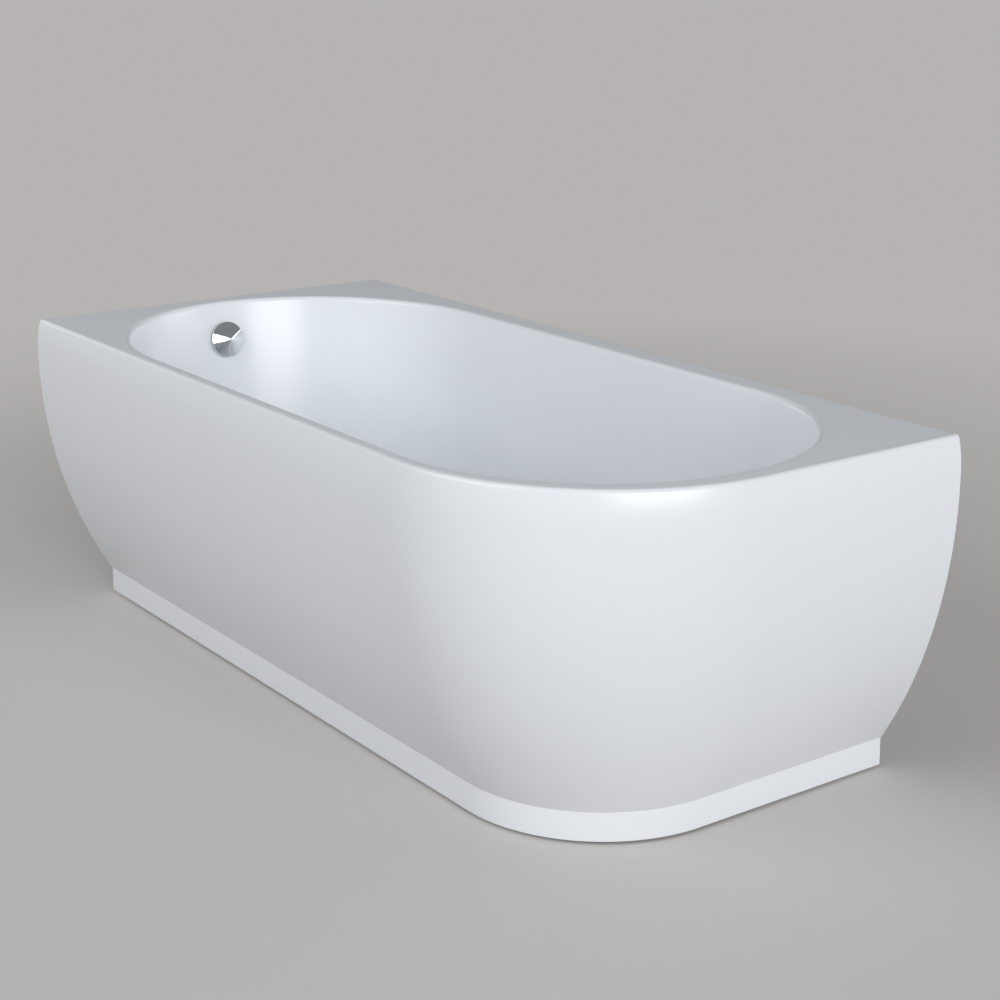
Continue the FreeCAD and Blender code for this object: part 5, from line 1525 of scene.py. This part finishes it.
class BATHTUB_OT_knob(bpy.types.Operator):
    """Turns the pointed overflow knob"""

    bl_idname = "bathtub.knob"
    bl_label = "Overflow knob"

    def execute(self, context):
        plumbing = context.scene.bathtub_plumbing
        outline = Outline(context.scene.bathtub_sizes)
        point_round = ((0, 0), (0.001, -0.00025))
        edge_round = ((-0.0013, 0.00042), (-0.0006, 0.00008), (-0.0002, -0.0004), (0, -0.001))
        under_round = ((0, 0.0006), (-0.0004, 0.0001), (-0.0008, 0))
        inner_round = ((0.0002, 0), (0, 0.0002), (0, 0.00065))
        radius = plumbing.knob_radius
        points = corner_points(0, plumbing.knob_point, point_round)
        points += corner_points(radius, plumbing.knob_edge, edge_round)
        points += corner_points(radius, plumbing.knob_under, under_round)
        points += corner_points(radius - plumbing.knob_wall, plumbing.knob_under, inner_round)
        points += [
            (plumbing.boss_radius, plumbing.knob_ceiling),
            (plumbing.boss_radius, plumbing.boss_end),
            (plumbing.boss_bore, plumbing.boss_end),
            (plumbing.boss_bore, plumbing.knob_ceiling),
            (0, plumbing.knob_ceiling),
        ]
        bm = bmesh.new()
        turned(bm, points, 96)
        bmesh.ops.transform(bm, matrix=outline.overflow, verts=bm.verts[:])
        knob = made_object(bm, "pointed_knob")
        seated(knob, "overflow_control", ["overflow_knob"])
        return {"FINISHED"}


class BATHTUB_OT_laminate(bpy.types.Operator):
    """Lays the glass fibre laminate on the back of the basin"""

    bl_idname = "bathtub.laminate"
    bl_label = "Glass fibre laminate"

    def execute(self, context):
        sizes = context.scene.bathtub_sizes
        plumbing = context.scene.bathtub_plumbing
        outline = Outline(sizes)
        wall_steps = 14
        bottom_steps = 16
        crease = 40
        behind = sizes.acrylic + sizes.bond_gap
        skin = behind + sizes.laminate
        top = sizes.edge_round + behind
        bend = sizes.depth - sizes.bottom_round
        radius = sizes.bottom_round + skin
        downs = [top + (bend - top) * step / wall_steps for step in range(wall_steps + 1)]
        downs += [bend + radius * math.sin(quarter_turn * step / bottom_steps)
                  for step in range(1, bottom_steps + 1)]
        bm = bmesh.new()
        ring = plan_ring(bm, sizes, outline, top, skin)
        ring = drawn_down(bm, sizes, outline, ring, downs, skin)
        under = outline.floor_z - skin
        hole = Matrix.Translation((outline.drain.x, outline.drain.y, under))
        drain = bmesh.ops.create_circle(bm, radius=plumbing.laminate_drain, segments=hole_steps,
                                        matrix=hole)
        drain_edges = list(dict.fromkeys(edge for vert in drain["verts"] for edge in vert.link_edges))
        bmesh.ops.triangle_fill(bm, use_beauty=True, edges=ring + drain_edges, normal=(0, 0, -1))
        merged(bm)
        facing_up(bm, under)
        bmesh.ops.reverse_faces(bm, faces=bm.faces[:])
        laminate = linked(bm, "fibre_laminate")
        thickened(laminate, sizes.laminate)
        inside = outline.overflow @ Vector((0, 0, 0.03))
        outside = outline.overflow @ Vector((0, 0, -0.06))
        holed(laminate, [(outside, inside, plumbing.laminate_overflow)], crease)
        seated(laminate, "tub", ["basin_laminate"])
        return {"FINISHED"}


class BATHTUB_OT_hose(bpy.types.Operator):
    """Ribs the overflow hose along its route and screws its two nuts on"""

    bl_idname = "bathtub.hose"
    bl_label = "Overflow hose"

    def execute(self, context):
        plumbing = context.scene.bathtub_plumbing
        outline = Outline(context.scene.bathtub_sizes)
        crease = 60
        line = route_points(self.spots(plumbing, outline))
        length = sum((after - before).length for before, after in zip(line, line[1:]))
        wave, stations = self.stations(plumbing, length)
        bm = bmesh.new()
        for first in range(0, len(stations) - 1, len(wave)):
            joined(bm, self.stretch(line, stations[first:first + len(wave) + 1]))
        hose = made_object(bm, "ribbed_hose", crease)
        thickened(hose, plumbing.hose_wall)
        applied(hose, crease)
        seated(hose, "tub", ["overflow_hose"])
        nut = ribbed_nut(plumbing.union_bore, plumbing.union_radius, plumbing.union_height,
                         plumbing.union_ribs)
        ends = [self.place(line, 0), self.place(line, length)]
        seated(made_object(repeated(nut, ends), "hose_union_nuts"), "tub", ["hose_nuts"])
        return {"FINISHED"}

    def spots(self, plumbing, outline):
        """Control points of the hose: down from the overflow's spigot, then level to the drain's port."""
        straight_share = 0.5755
        port_z = outline.floor_z - plumbing.port_drop
        spigot = (plumbing.spigot_reach, 0, -plumbing.spigot_depth)
        start, corner = drop_behind_head(outline, spigot, port_z)
        end = Vector((outline.drain.x - plumbing.port_reach, outline.basin_y, port_z))
        return [start, start.lerp(corner, straight_share), corner, end]

    def stations(self, plumbing, length):
        """Wave of one rib, and all stations of the hose as lengths along it and radii."""
        flank_share = 0.6
        valley = plumbing.hose_valley
        crest = plumbing.hose_crest
        pitch = plumbing.rib_pitch
        flank = valley + flank_share * (crest - valley)
        wave = [(0, valley), (0.18, valley), (0.34, flank), (0.46, crest), (0.62, crest), (0.74, flank),
                (0.9, valley)]
        ribs = int((length - 2 * plumbing.hose_cuff) / pitch)
        lead = (length - ribs * pitch) / 2
        stations = [(0, valley), (lead / 2, valley)]
        for rib in range(ribs):
            stations += [(lead + (rib + share) * pitch, radius) for share, radius in wave]
        stations += [(length - lead, valley), (length - lead / 2, valley), (length, valley)]
        return wave, stations

    def stretch(self, line, stations):
        """Short length of hose through a few stations."""
        bm = bmesh.new()
        at, last = stations[0]
        place = self.place(line, at)
        bmesh.ops.create_circle(bm, radius=last, segments=40, matrix=place)
        ring = bm.edges[:]
        for at, radius in stations[1:]:
            made = pulled(bm, ring)
            ring = edges_of(made)
            goal = self.place(line, at)
            grown = Matrix.Diagonal((radius / last, radius / last, 1, 1))
            bmesh.ops.transform(bm, matrix=goal @ grown @ place.inverted(), verts=verts_of(made))
            place = goal
            last = radius
        return bm

    def place(self, line, at):
        """Place at a length along the line, with Z along it."""
        slack = 1e-7
        for before, after in zip(line, line[1:]):
            run = after - before
            if at <= run.length + slack or after is line[-1]:
                spot = before + run.normalized() * at
                return Matrix.Translation(spot) @ run.to_track_quat("Z", "Y").to_matrix().to_4x4()
            at -= run.length


class BATHTUB_OT_cable(bpy.types.Operator):
    """Runs the control cable from the overflow to the waste"""

    bl_idname = "bathtub.cable"
    bl_label = "Control cable"

    def execute(self, context):
        plumbing = context.scene.bathtub_plumbing
        outline = Outline(context.scene.bathtub_sizes)
        crease = 40
        curve = route_curve(self.spots(plumbing, outline))
        curve.bevel_depth = plumbing.cable_radius
        curve.bevel_resolution = 6
        curve.use_fill_caps = True
        tube = curve_mesh(curve)
        bm = bmesh.new()
        bm.from_mesh(tube)
        bpy.data.meshes.remove(tube)
        seated(made_object(bm, "sheathed_cable", crease), "tub", ["control_cable"])
        return {"FINISHED"}

    def spots(self, plumbing, outline):
        """Control points of the cable: down the head wall, beside the front rail and into the waste."""
        straight_share = 0.5693
        port_z = outline.floor_z - plumbing.port_drop
        top = (plumbing.cable_start, -plumbing.cable_offset, -plumbing.spigot_depth)
        start, corner = drop_behind_head(outline, top, port_z + plumbing.cable_above_port)
        rail_y = packed_box("frame_rail_front")[1].y
        swing_y = rail_y + plumbing.cable_rail_gap + plumbing.cable_radius
        drain_x = outline.drain.x
        return [
            start,
            start.lerp(corner, straight_share),
            corner,
            Vector((drain_x - plumbing.cable_swing, swing_y, port_z)),
            Vector((drain_x, swing_y, port_z)),
            Vector((drain_x, outline.basin_y - plumbing.cable_reach, port_z)),
        ]


class BATHTUB_OT_rails(bpy.types.Operator):
    """Draws the square tubes of the cradle, drills them for the feet and closes their ends"""

    bl_idname = "bathtub.rails"
    bl_label = "Cradle rails"

    def execute(self, context):
        cradle = context.scene.bathtub_cradle
        cap_edge = 0.0008
        for node in ("frame_rail_front", "frame_rail_back"):
            seated(self.rail(node, cradle, Vector(along_x)), "tub", [node])
        for node in ("cross_rail_head", "cross_rail_middle", "cross_rail_foot"):
            rail = self.rail(node, cradle, Vector(along_y))
            holed(rail, self.stud_holes(node, cradle), usual_crease)
            seated(rail, "tub", [node])
        refined("rail_end_caps", "tube_end_caps", cap_edge)
        return {"FINISHED"}

    def stud_holes(self, node, cradle):
        """Holes for the studs that stand under a cross rail, as rods to cut."""
        low, high = packed_box(node)
        past = (high.z - low.z) / 2
        holes = []
        for number in foot_numbers:
            stud = foot_spot(number)
            if low.x < stud.x < high.x:
                start = stud + Vector((0, 0, low.z - past))
                end = stud + Vector((0, 0, high.z + past))
                holes.append((start, end, cradle.stud_hole))
        return holes

    def rail(self, node, cradle, axis):
        """Square tube in the box of a packed rail, along an axis."""
        low, high = packed_box(node)
        span = high - low
        bm = self.tube(span.z, span.dot(axis), cradle)
        start = (low + high) / 2 - axis * span.dot(axis) / 2
        place = Matrix.Translation(start) @ axis.to_track_quat("Z", "Y").to_matrix().to_4x4()
        bmesh.ops.transform(bm, matrix=place, verts=bm.verts[:])
        return made_object(bm, "tube_" + node)

    def tube(self, side, length, cradle):
        """Square tube with rounded edges, standing on Z zero."""
        bm = bmesh.new()
        bmesh.ops.create_grid(bm, x_segments=1, y_segments=1, size=side / 2)
        bmesh.ops.bevel(bm, geom=bm.verts[:], offset=cradle.rail_round, offset_type="OFFSET", segments=5,
                        profile=0.5, affect="VERTICES", material=-1)
        bmesh.ops.inset_region(bm, faces=bm.faces[:], thickness=cradle.rail_wall, use_boundary=True,
                               use_even_offset=True)
        inside = max(bm.faces, key=lambda face: len(face.verts))
        bmesh.ops.delete(bm, geom=[inside], context="FACES_ONLY")
        made = bmesh.ops.extrude_face_region(bm, geom=bm.faces[:])
        bmesh.ops.translate(bm, verts=verts_of(made["geom"]), vec=(0, 0, length))
        return bm


class BATHTUB_OT_feet(bpy.types.Operator):
    """Cuts the threaded studs and turns the pads of the six levelling feet"""

    bl_idname = "bathtub.feet"
    bl_label = "Levelling feet"

    def execute(self, context):
        cradle = context.scene.bathtub_cradle
        pad_crease = 35
        for number in foot_numbers:
            low, high = packed_box(f"foot_stud_{number}")
            place = foot_spot(number)
            bm = self.stud(cradle, low.z, high.z)
            bmesh.ops.translate(bm, verts=bm.verts[:], vec=place)
            stud = made_object(bm, f"threaded_stud_{number}")
            seated(stud, f"foot_{number}", [f"foot_stud_{number}"])
            bm = self.pad(cradle)
            bmesh.ops.translate(bm, verts=bm.verts[:], vec=place)
            pad = made_object(bm, f"round_pad_{number}", pad_crease)
            seated(pad, f"foot_{number}", [f"foot_pad_{number}"])
        return {"FINISHED"}

    def stud(self, cradle, low, high):
        """Threaded stud with its six-sided collar on the pad."""
        collar_bore = 0.005
        bm = hex_nut(cradle.stud_flats, collar_bore, cradle.collar_height)
        bmesh.ops.translate(bm, verts=bm.verts[:], vec=(0, 0, cradle.pad_height))
        rod(bm, cradle.stud_radius, cradle.stud_pitch, low, high, 20)
        return bm

    def pad(self, cradle):
        """Round pad with a hollow underside, a cone and a socket for the stud."""
        hollow_round = ((0, 0), (0.0008, -cradle.pad_hollow))
        sole_round = ((-0.0014, 0), (-0.0004, 0.0005), (0, 0.0016))
        rim_round = ((0, -0.0004), (-0.0003, 0.0004), (-0.001, 0.0009))
        neck_round = ((0.0006, -0.0024), (0, -0.001), (-0.0004, -0.0003), (-0.0011, 0))
        socket_round = ((0.0005, 0), (0, -0.0005))
        points = [(0, cradle.pad_hollow)]
        points += corner_points(cradle.hollow_radius, cradle.pad_hollow, hollow_round)
        points += corner_points(cradle.pad_radius, 0, sole_round)
        points += corner_points(cradle.pad_radius, cradle.pad_rim, rim_round)
        points += corner_points(cradle.pad_neck, cradle.pad_height, neck_round)
        points += corner_points(cradle.pad_socket, cradle.pad_height, socket_round)
        points += [(cradle.pad_socket, cradle.socket_floor), (0, cradle.socket_floor)]
        bm = bmesh.new()
        turned(bm, points, 64)
        return bm


class BATHTUB_OT_fasteners(bpy.types.Operator):
    """Makes the screws, bolts and nuts"""

    bl_idname = "bathtub.fasteners"
    bl_label = "Screws, bolts and nuts"

    def execute(self, context):
        hub = Outline(context.scene.bathtub_sizes).overflow
        self.headed("board_screws", "long_wood_screws", pan_screw(
            head_radius=0.005, head=0.003, radius=0.00255, length=0.0355, pitch=0.0018))
        self.headed("bracket_screws", "sheet_screws", pan_screw(
            head_radius=0.0045, head=0.003, radius=0.0021, length=0.0080, pitch=0.0014))
        self.headed("overflow_screws", "flange_screws", pan_screw(
            head_radius=0.0040, head=0.0026, radius=0.0021, length=0.0180, pitch=0.0008), hub)
        self.headed("rail_bolts", "rail_clamp_bolts", hex_bolt(
            flats=0.013, head=0.0055, radius=0.004, length=0.0352, pitch=0.00125))
        self.headed("apron_bolts", "apron_clamp_bolts", hex_bolt(
            flats=0.010, head=0.004, radius=0.003, length=0.018, pitch=0.001))
        self.nuts("rail_nuts", "rail_clamp_nuts", flats=0.013, bore=0.0038)
        self.nuts("apron_nuts", "apron_clamp_nuts", flats=0.010, bore=0.0028)
        self.stud_nuts(context.scene.bathtub_cradle)
        return {"FINISHED"}

    def headed(self, node, name, template, tilt=None):
        """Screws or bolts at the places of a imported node."""
        places = headed_places(node, tilt)
        seated(made_object(repeated(template, places), name), "tub", [node])

    def nuts(self, node, name, flats, bore):
        """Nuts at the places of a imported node."""
        boxes = [box_of(solid) for solid in solids_of(node)]
        places = [Matrix.Translation(((low.x + high.x) / 2, (low.y + high.y) / 2, low.z))
                  for low, high in boxes]
        low, high = boxes[0]
        template = hex_nut(flats, bore, high.z - low.z)
        seated(made_object(repeated(template, places), name), "tub", [node])

    def stud_nuts(self, cradle):
        """Weld nut under the cross rail and lock nut below it, on each stud."""
        weld_z = packed_box("cross_rail_head")[0].z - cradle.weld_nut
        rows = ((weld_z - cradle.lock_nut, cradle.lock_nut - cradle.nut_joint), (weld_z, cradle.weld_nut))
        nuts = bmesh.new()
        for z, thick in rows:
            places = [Matrix.Translation(foot_spot(number) + Vector((0, 0, z))) for number in foot_numbers]
            joined(nuts, repeated(hex_nut(cradle.stud_flats, cradle.nut_bore, thick), places))
        seated(made_object(nuts, "stud_nuts"), "tub", ["foot_nuts"])


class BATHTUB_OT_plates(bpy.types.Operator):
    """Rounds the edges of the base board, the brackets and the wall hooks"""

    bl_idname = "bathtub.plates"
    bl_label = "Board, brackets and hooks"

    def execute(self, context):
        board_edge = 0.0012
        bracket_edge = 0.0007
        hook_edge = 0.0006
        refined("base_board", "floor_board", board_edge)
        for number in range(1, 6):
            refined(f"apron_bracket_{number}", f"bent_bracket_{number}", bracket_edge)
        for number in range(1, 4):
            refined(f"wall_bracket_{number}", f"wall_hook_{number}", hook_edge)
        return {"FINISHED"}


class BATHTUB_OT_waste(bpy.types.Operator):
    """Rounds the edges of the drain, trap and outlet"""

    bl_idname = "bathtub.waste"
    bl_label = "Waste and trap"

    def execute(self, context):
        fine_edge = 0.0006
        body_edge = 0.0008
        bowl_edge = 0.0010
        refined("drain_flange", "drain_ring", fine_edge)
        refined("drain_body", "drain_cup", body_edge)
        refined("trap_body", "trap_bowl", bowl_edge)
        refined("trap_nut", "trap_union_nut", fine_edge)
        refined("outlet_nut", "outlet_union_nut", fine_edge)
        refined("outlet_pipe", "outlet_tube", fine_edge)
        return {"FINISHED"}


class BATHTUB_OT_overflow(bpy.types.Operator):
    """Rounds the edges of the overflow ring and its housing"""

    bl_idname = "bathtub.overflow"
    bl_label = "Overflow"

    def execute(self, context):
        ring_edge = 0.0006
        housing_edge = 0.0008
        refined("overflow_flange", "overflow_ring", ring_edge)
        refined("overflow_body", "overflow_housing", housing_edge)
        return {"FINISHED"}


class BATHTUB_PT_pieces(bpy.types.Panel):
    """Lists the pieces of the bathtub"""

    bl_label = "Bathtub"
    bl_idname = "BATHTUB_PT_pieces"
    bl_space_type = "VIEW_3D"
    bl_region_type = "UI"
    bl_category = "Bathtub"

    def draw(self, context):
        for made in operators:
            self.layout.operator(made.bl_idname)


groups = (BathtubSizes, BathtubPlumbing, BathtubCradle, BathtubColours, BathtubStudio)
operators = (
    BATHTUB_OT_stage,
    BATHTUB_OT_finishes,
    BATHTUB_OT_basin,
    BATHTUB_OT_apron,
    BATHTUB_OT_plinth,
    BATHTUB_OT_knob,
    BATHTUB_OT_laminate,
    BATHTUB_OT_hose,
    BATHTUB_OT_cable,
    BATHTUB_OT_rails,
    BATHTUB_OT_feet,
    BATHTUB_OT_fasteners,
    BATHTUB_OT_plates,
    BATHTUB_OT_waste,
    BATHTUB_OT_overflow,
)


def register():
    """Makes the classes and their values known to Blender."""
    for made in groups + operators + (BATHTUB_PT_pieces,):
        bpy.utils.register_class(made)
    bpy.types.Scene.bathtub_sizes = PointerProperty(type=BathtubSizes)
    bpy.types.Scene.bathtub_plumbing = PointerProperty(type=BathtubPlumbing)
    bpy.types.Scene.bathtub_cradle = PointerProperty(type=BathtubCradle)
    bpy.types.Scene.bathtub_colours = PointerProperty(type=BathtubColours)
    bpy.types.Scene.bathtub_studio = PointerProperty(type=BathtubStudio)


def unregister():
    """Takes the values and classes out of Blender again."""
    del bpy.types.Scene.bathtub_studio
    del bpy.types.Scene.bathtub_colours
    del bpy.types.Scene.bathtub_cradle
    del bpy.types.Scene.bathtub_plumbing
    del bpy.types.Scene.bathtub_sizes
    for made in reversed(groups + operators + (BATHTUB_PT_pieces,)):
        bpy.utils.unregister_class(made)


def main():
    """Dresses the whole bathtub."""
    register()
    bpy.ops.bathtub.stage()
    bpy.ops.bathtub.finishes()
    bpy.ops.bathtub.basin()
    bpy.ops.bathtub.apron()
    bpy.ops.bathtub.plinth()
    bpy.ops.bathtub.knob()
    bpy.ops.bathtub.laminate()
    bpy.ops.bathtub.hose()
    bpy.ops.bathtub.cable()
    bpy.ops.bathtub.rails()
    bpy.ops.bathtub.feet()
    bpy.ops.bathtub.fasteners()
    bpy.ops.bathtub.plates()
    bpy.ops.bathtub.waste()
    bpy.ops.bathtub.overflow()


if __name__ == "__main__":
    main()
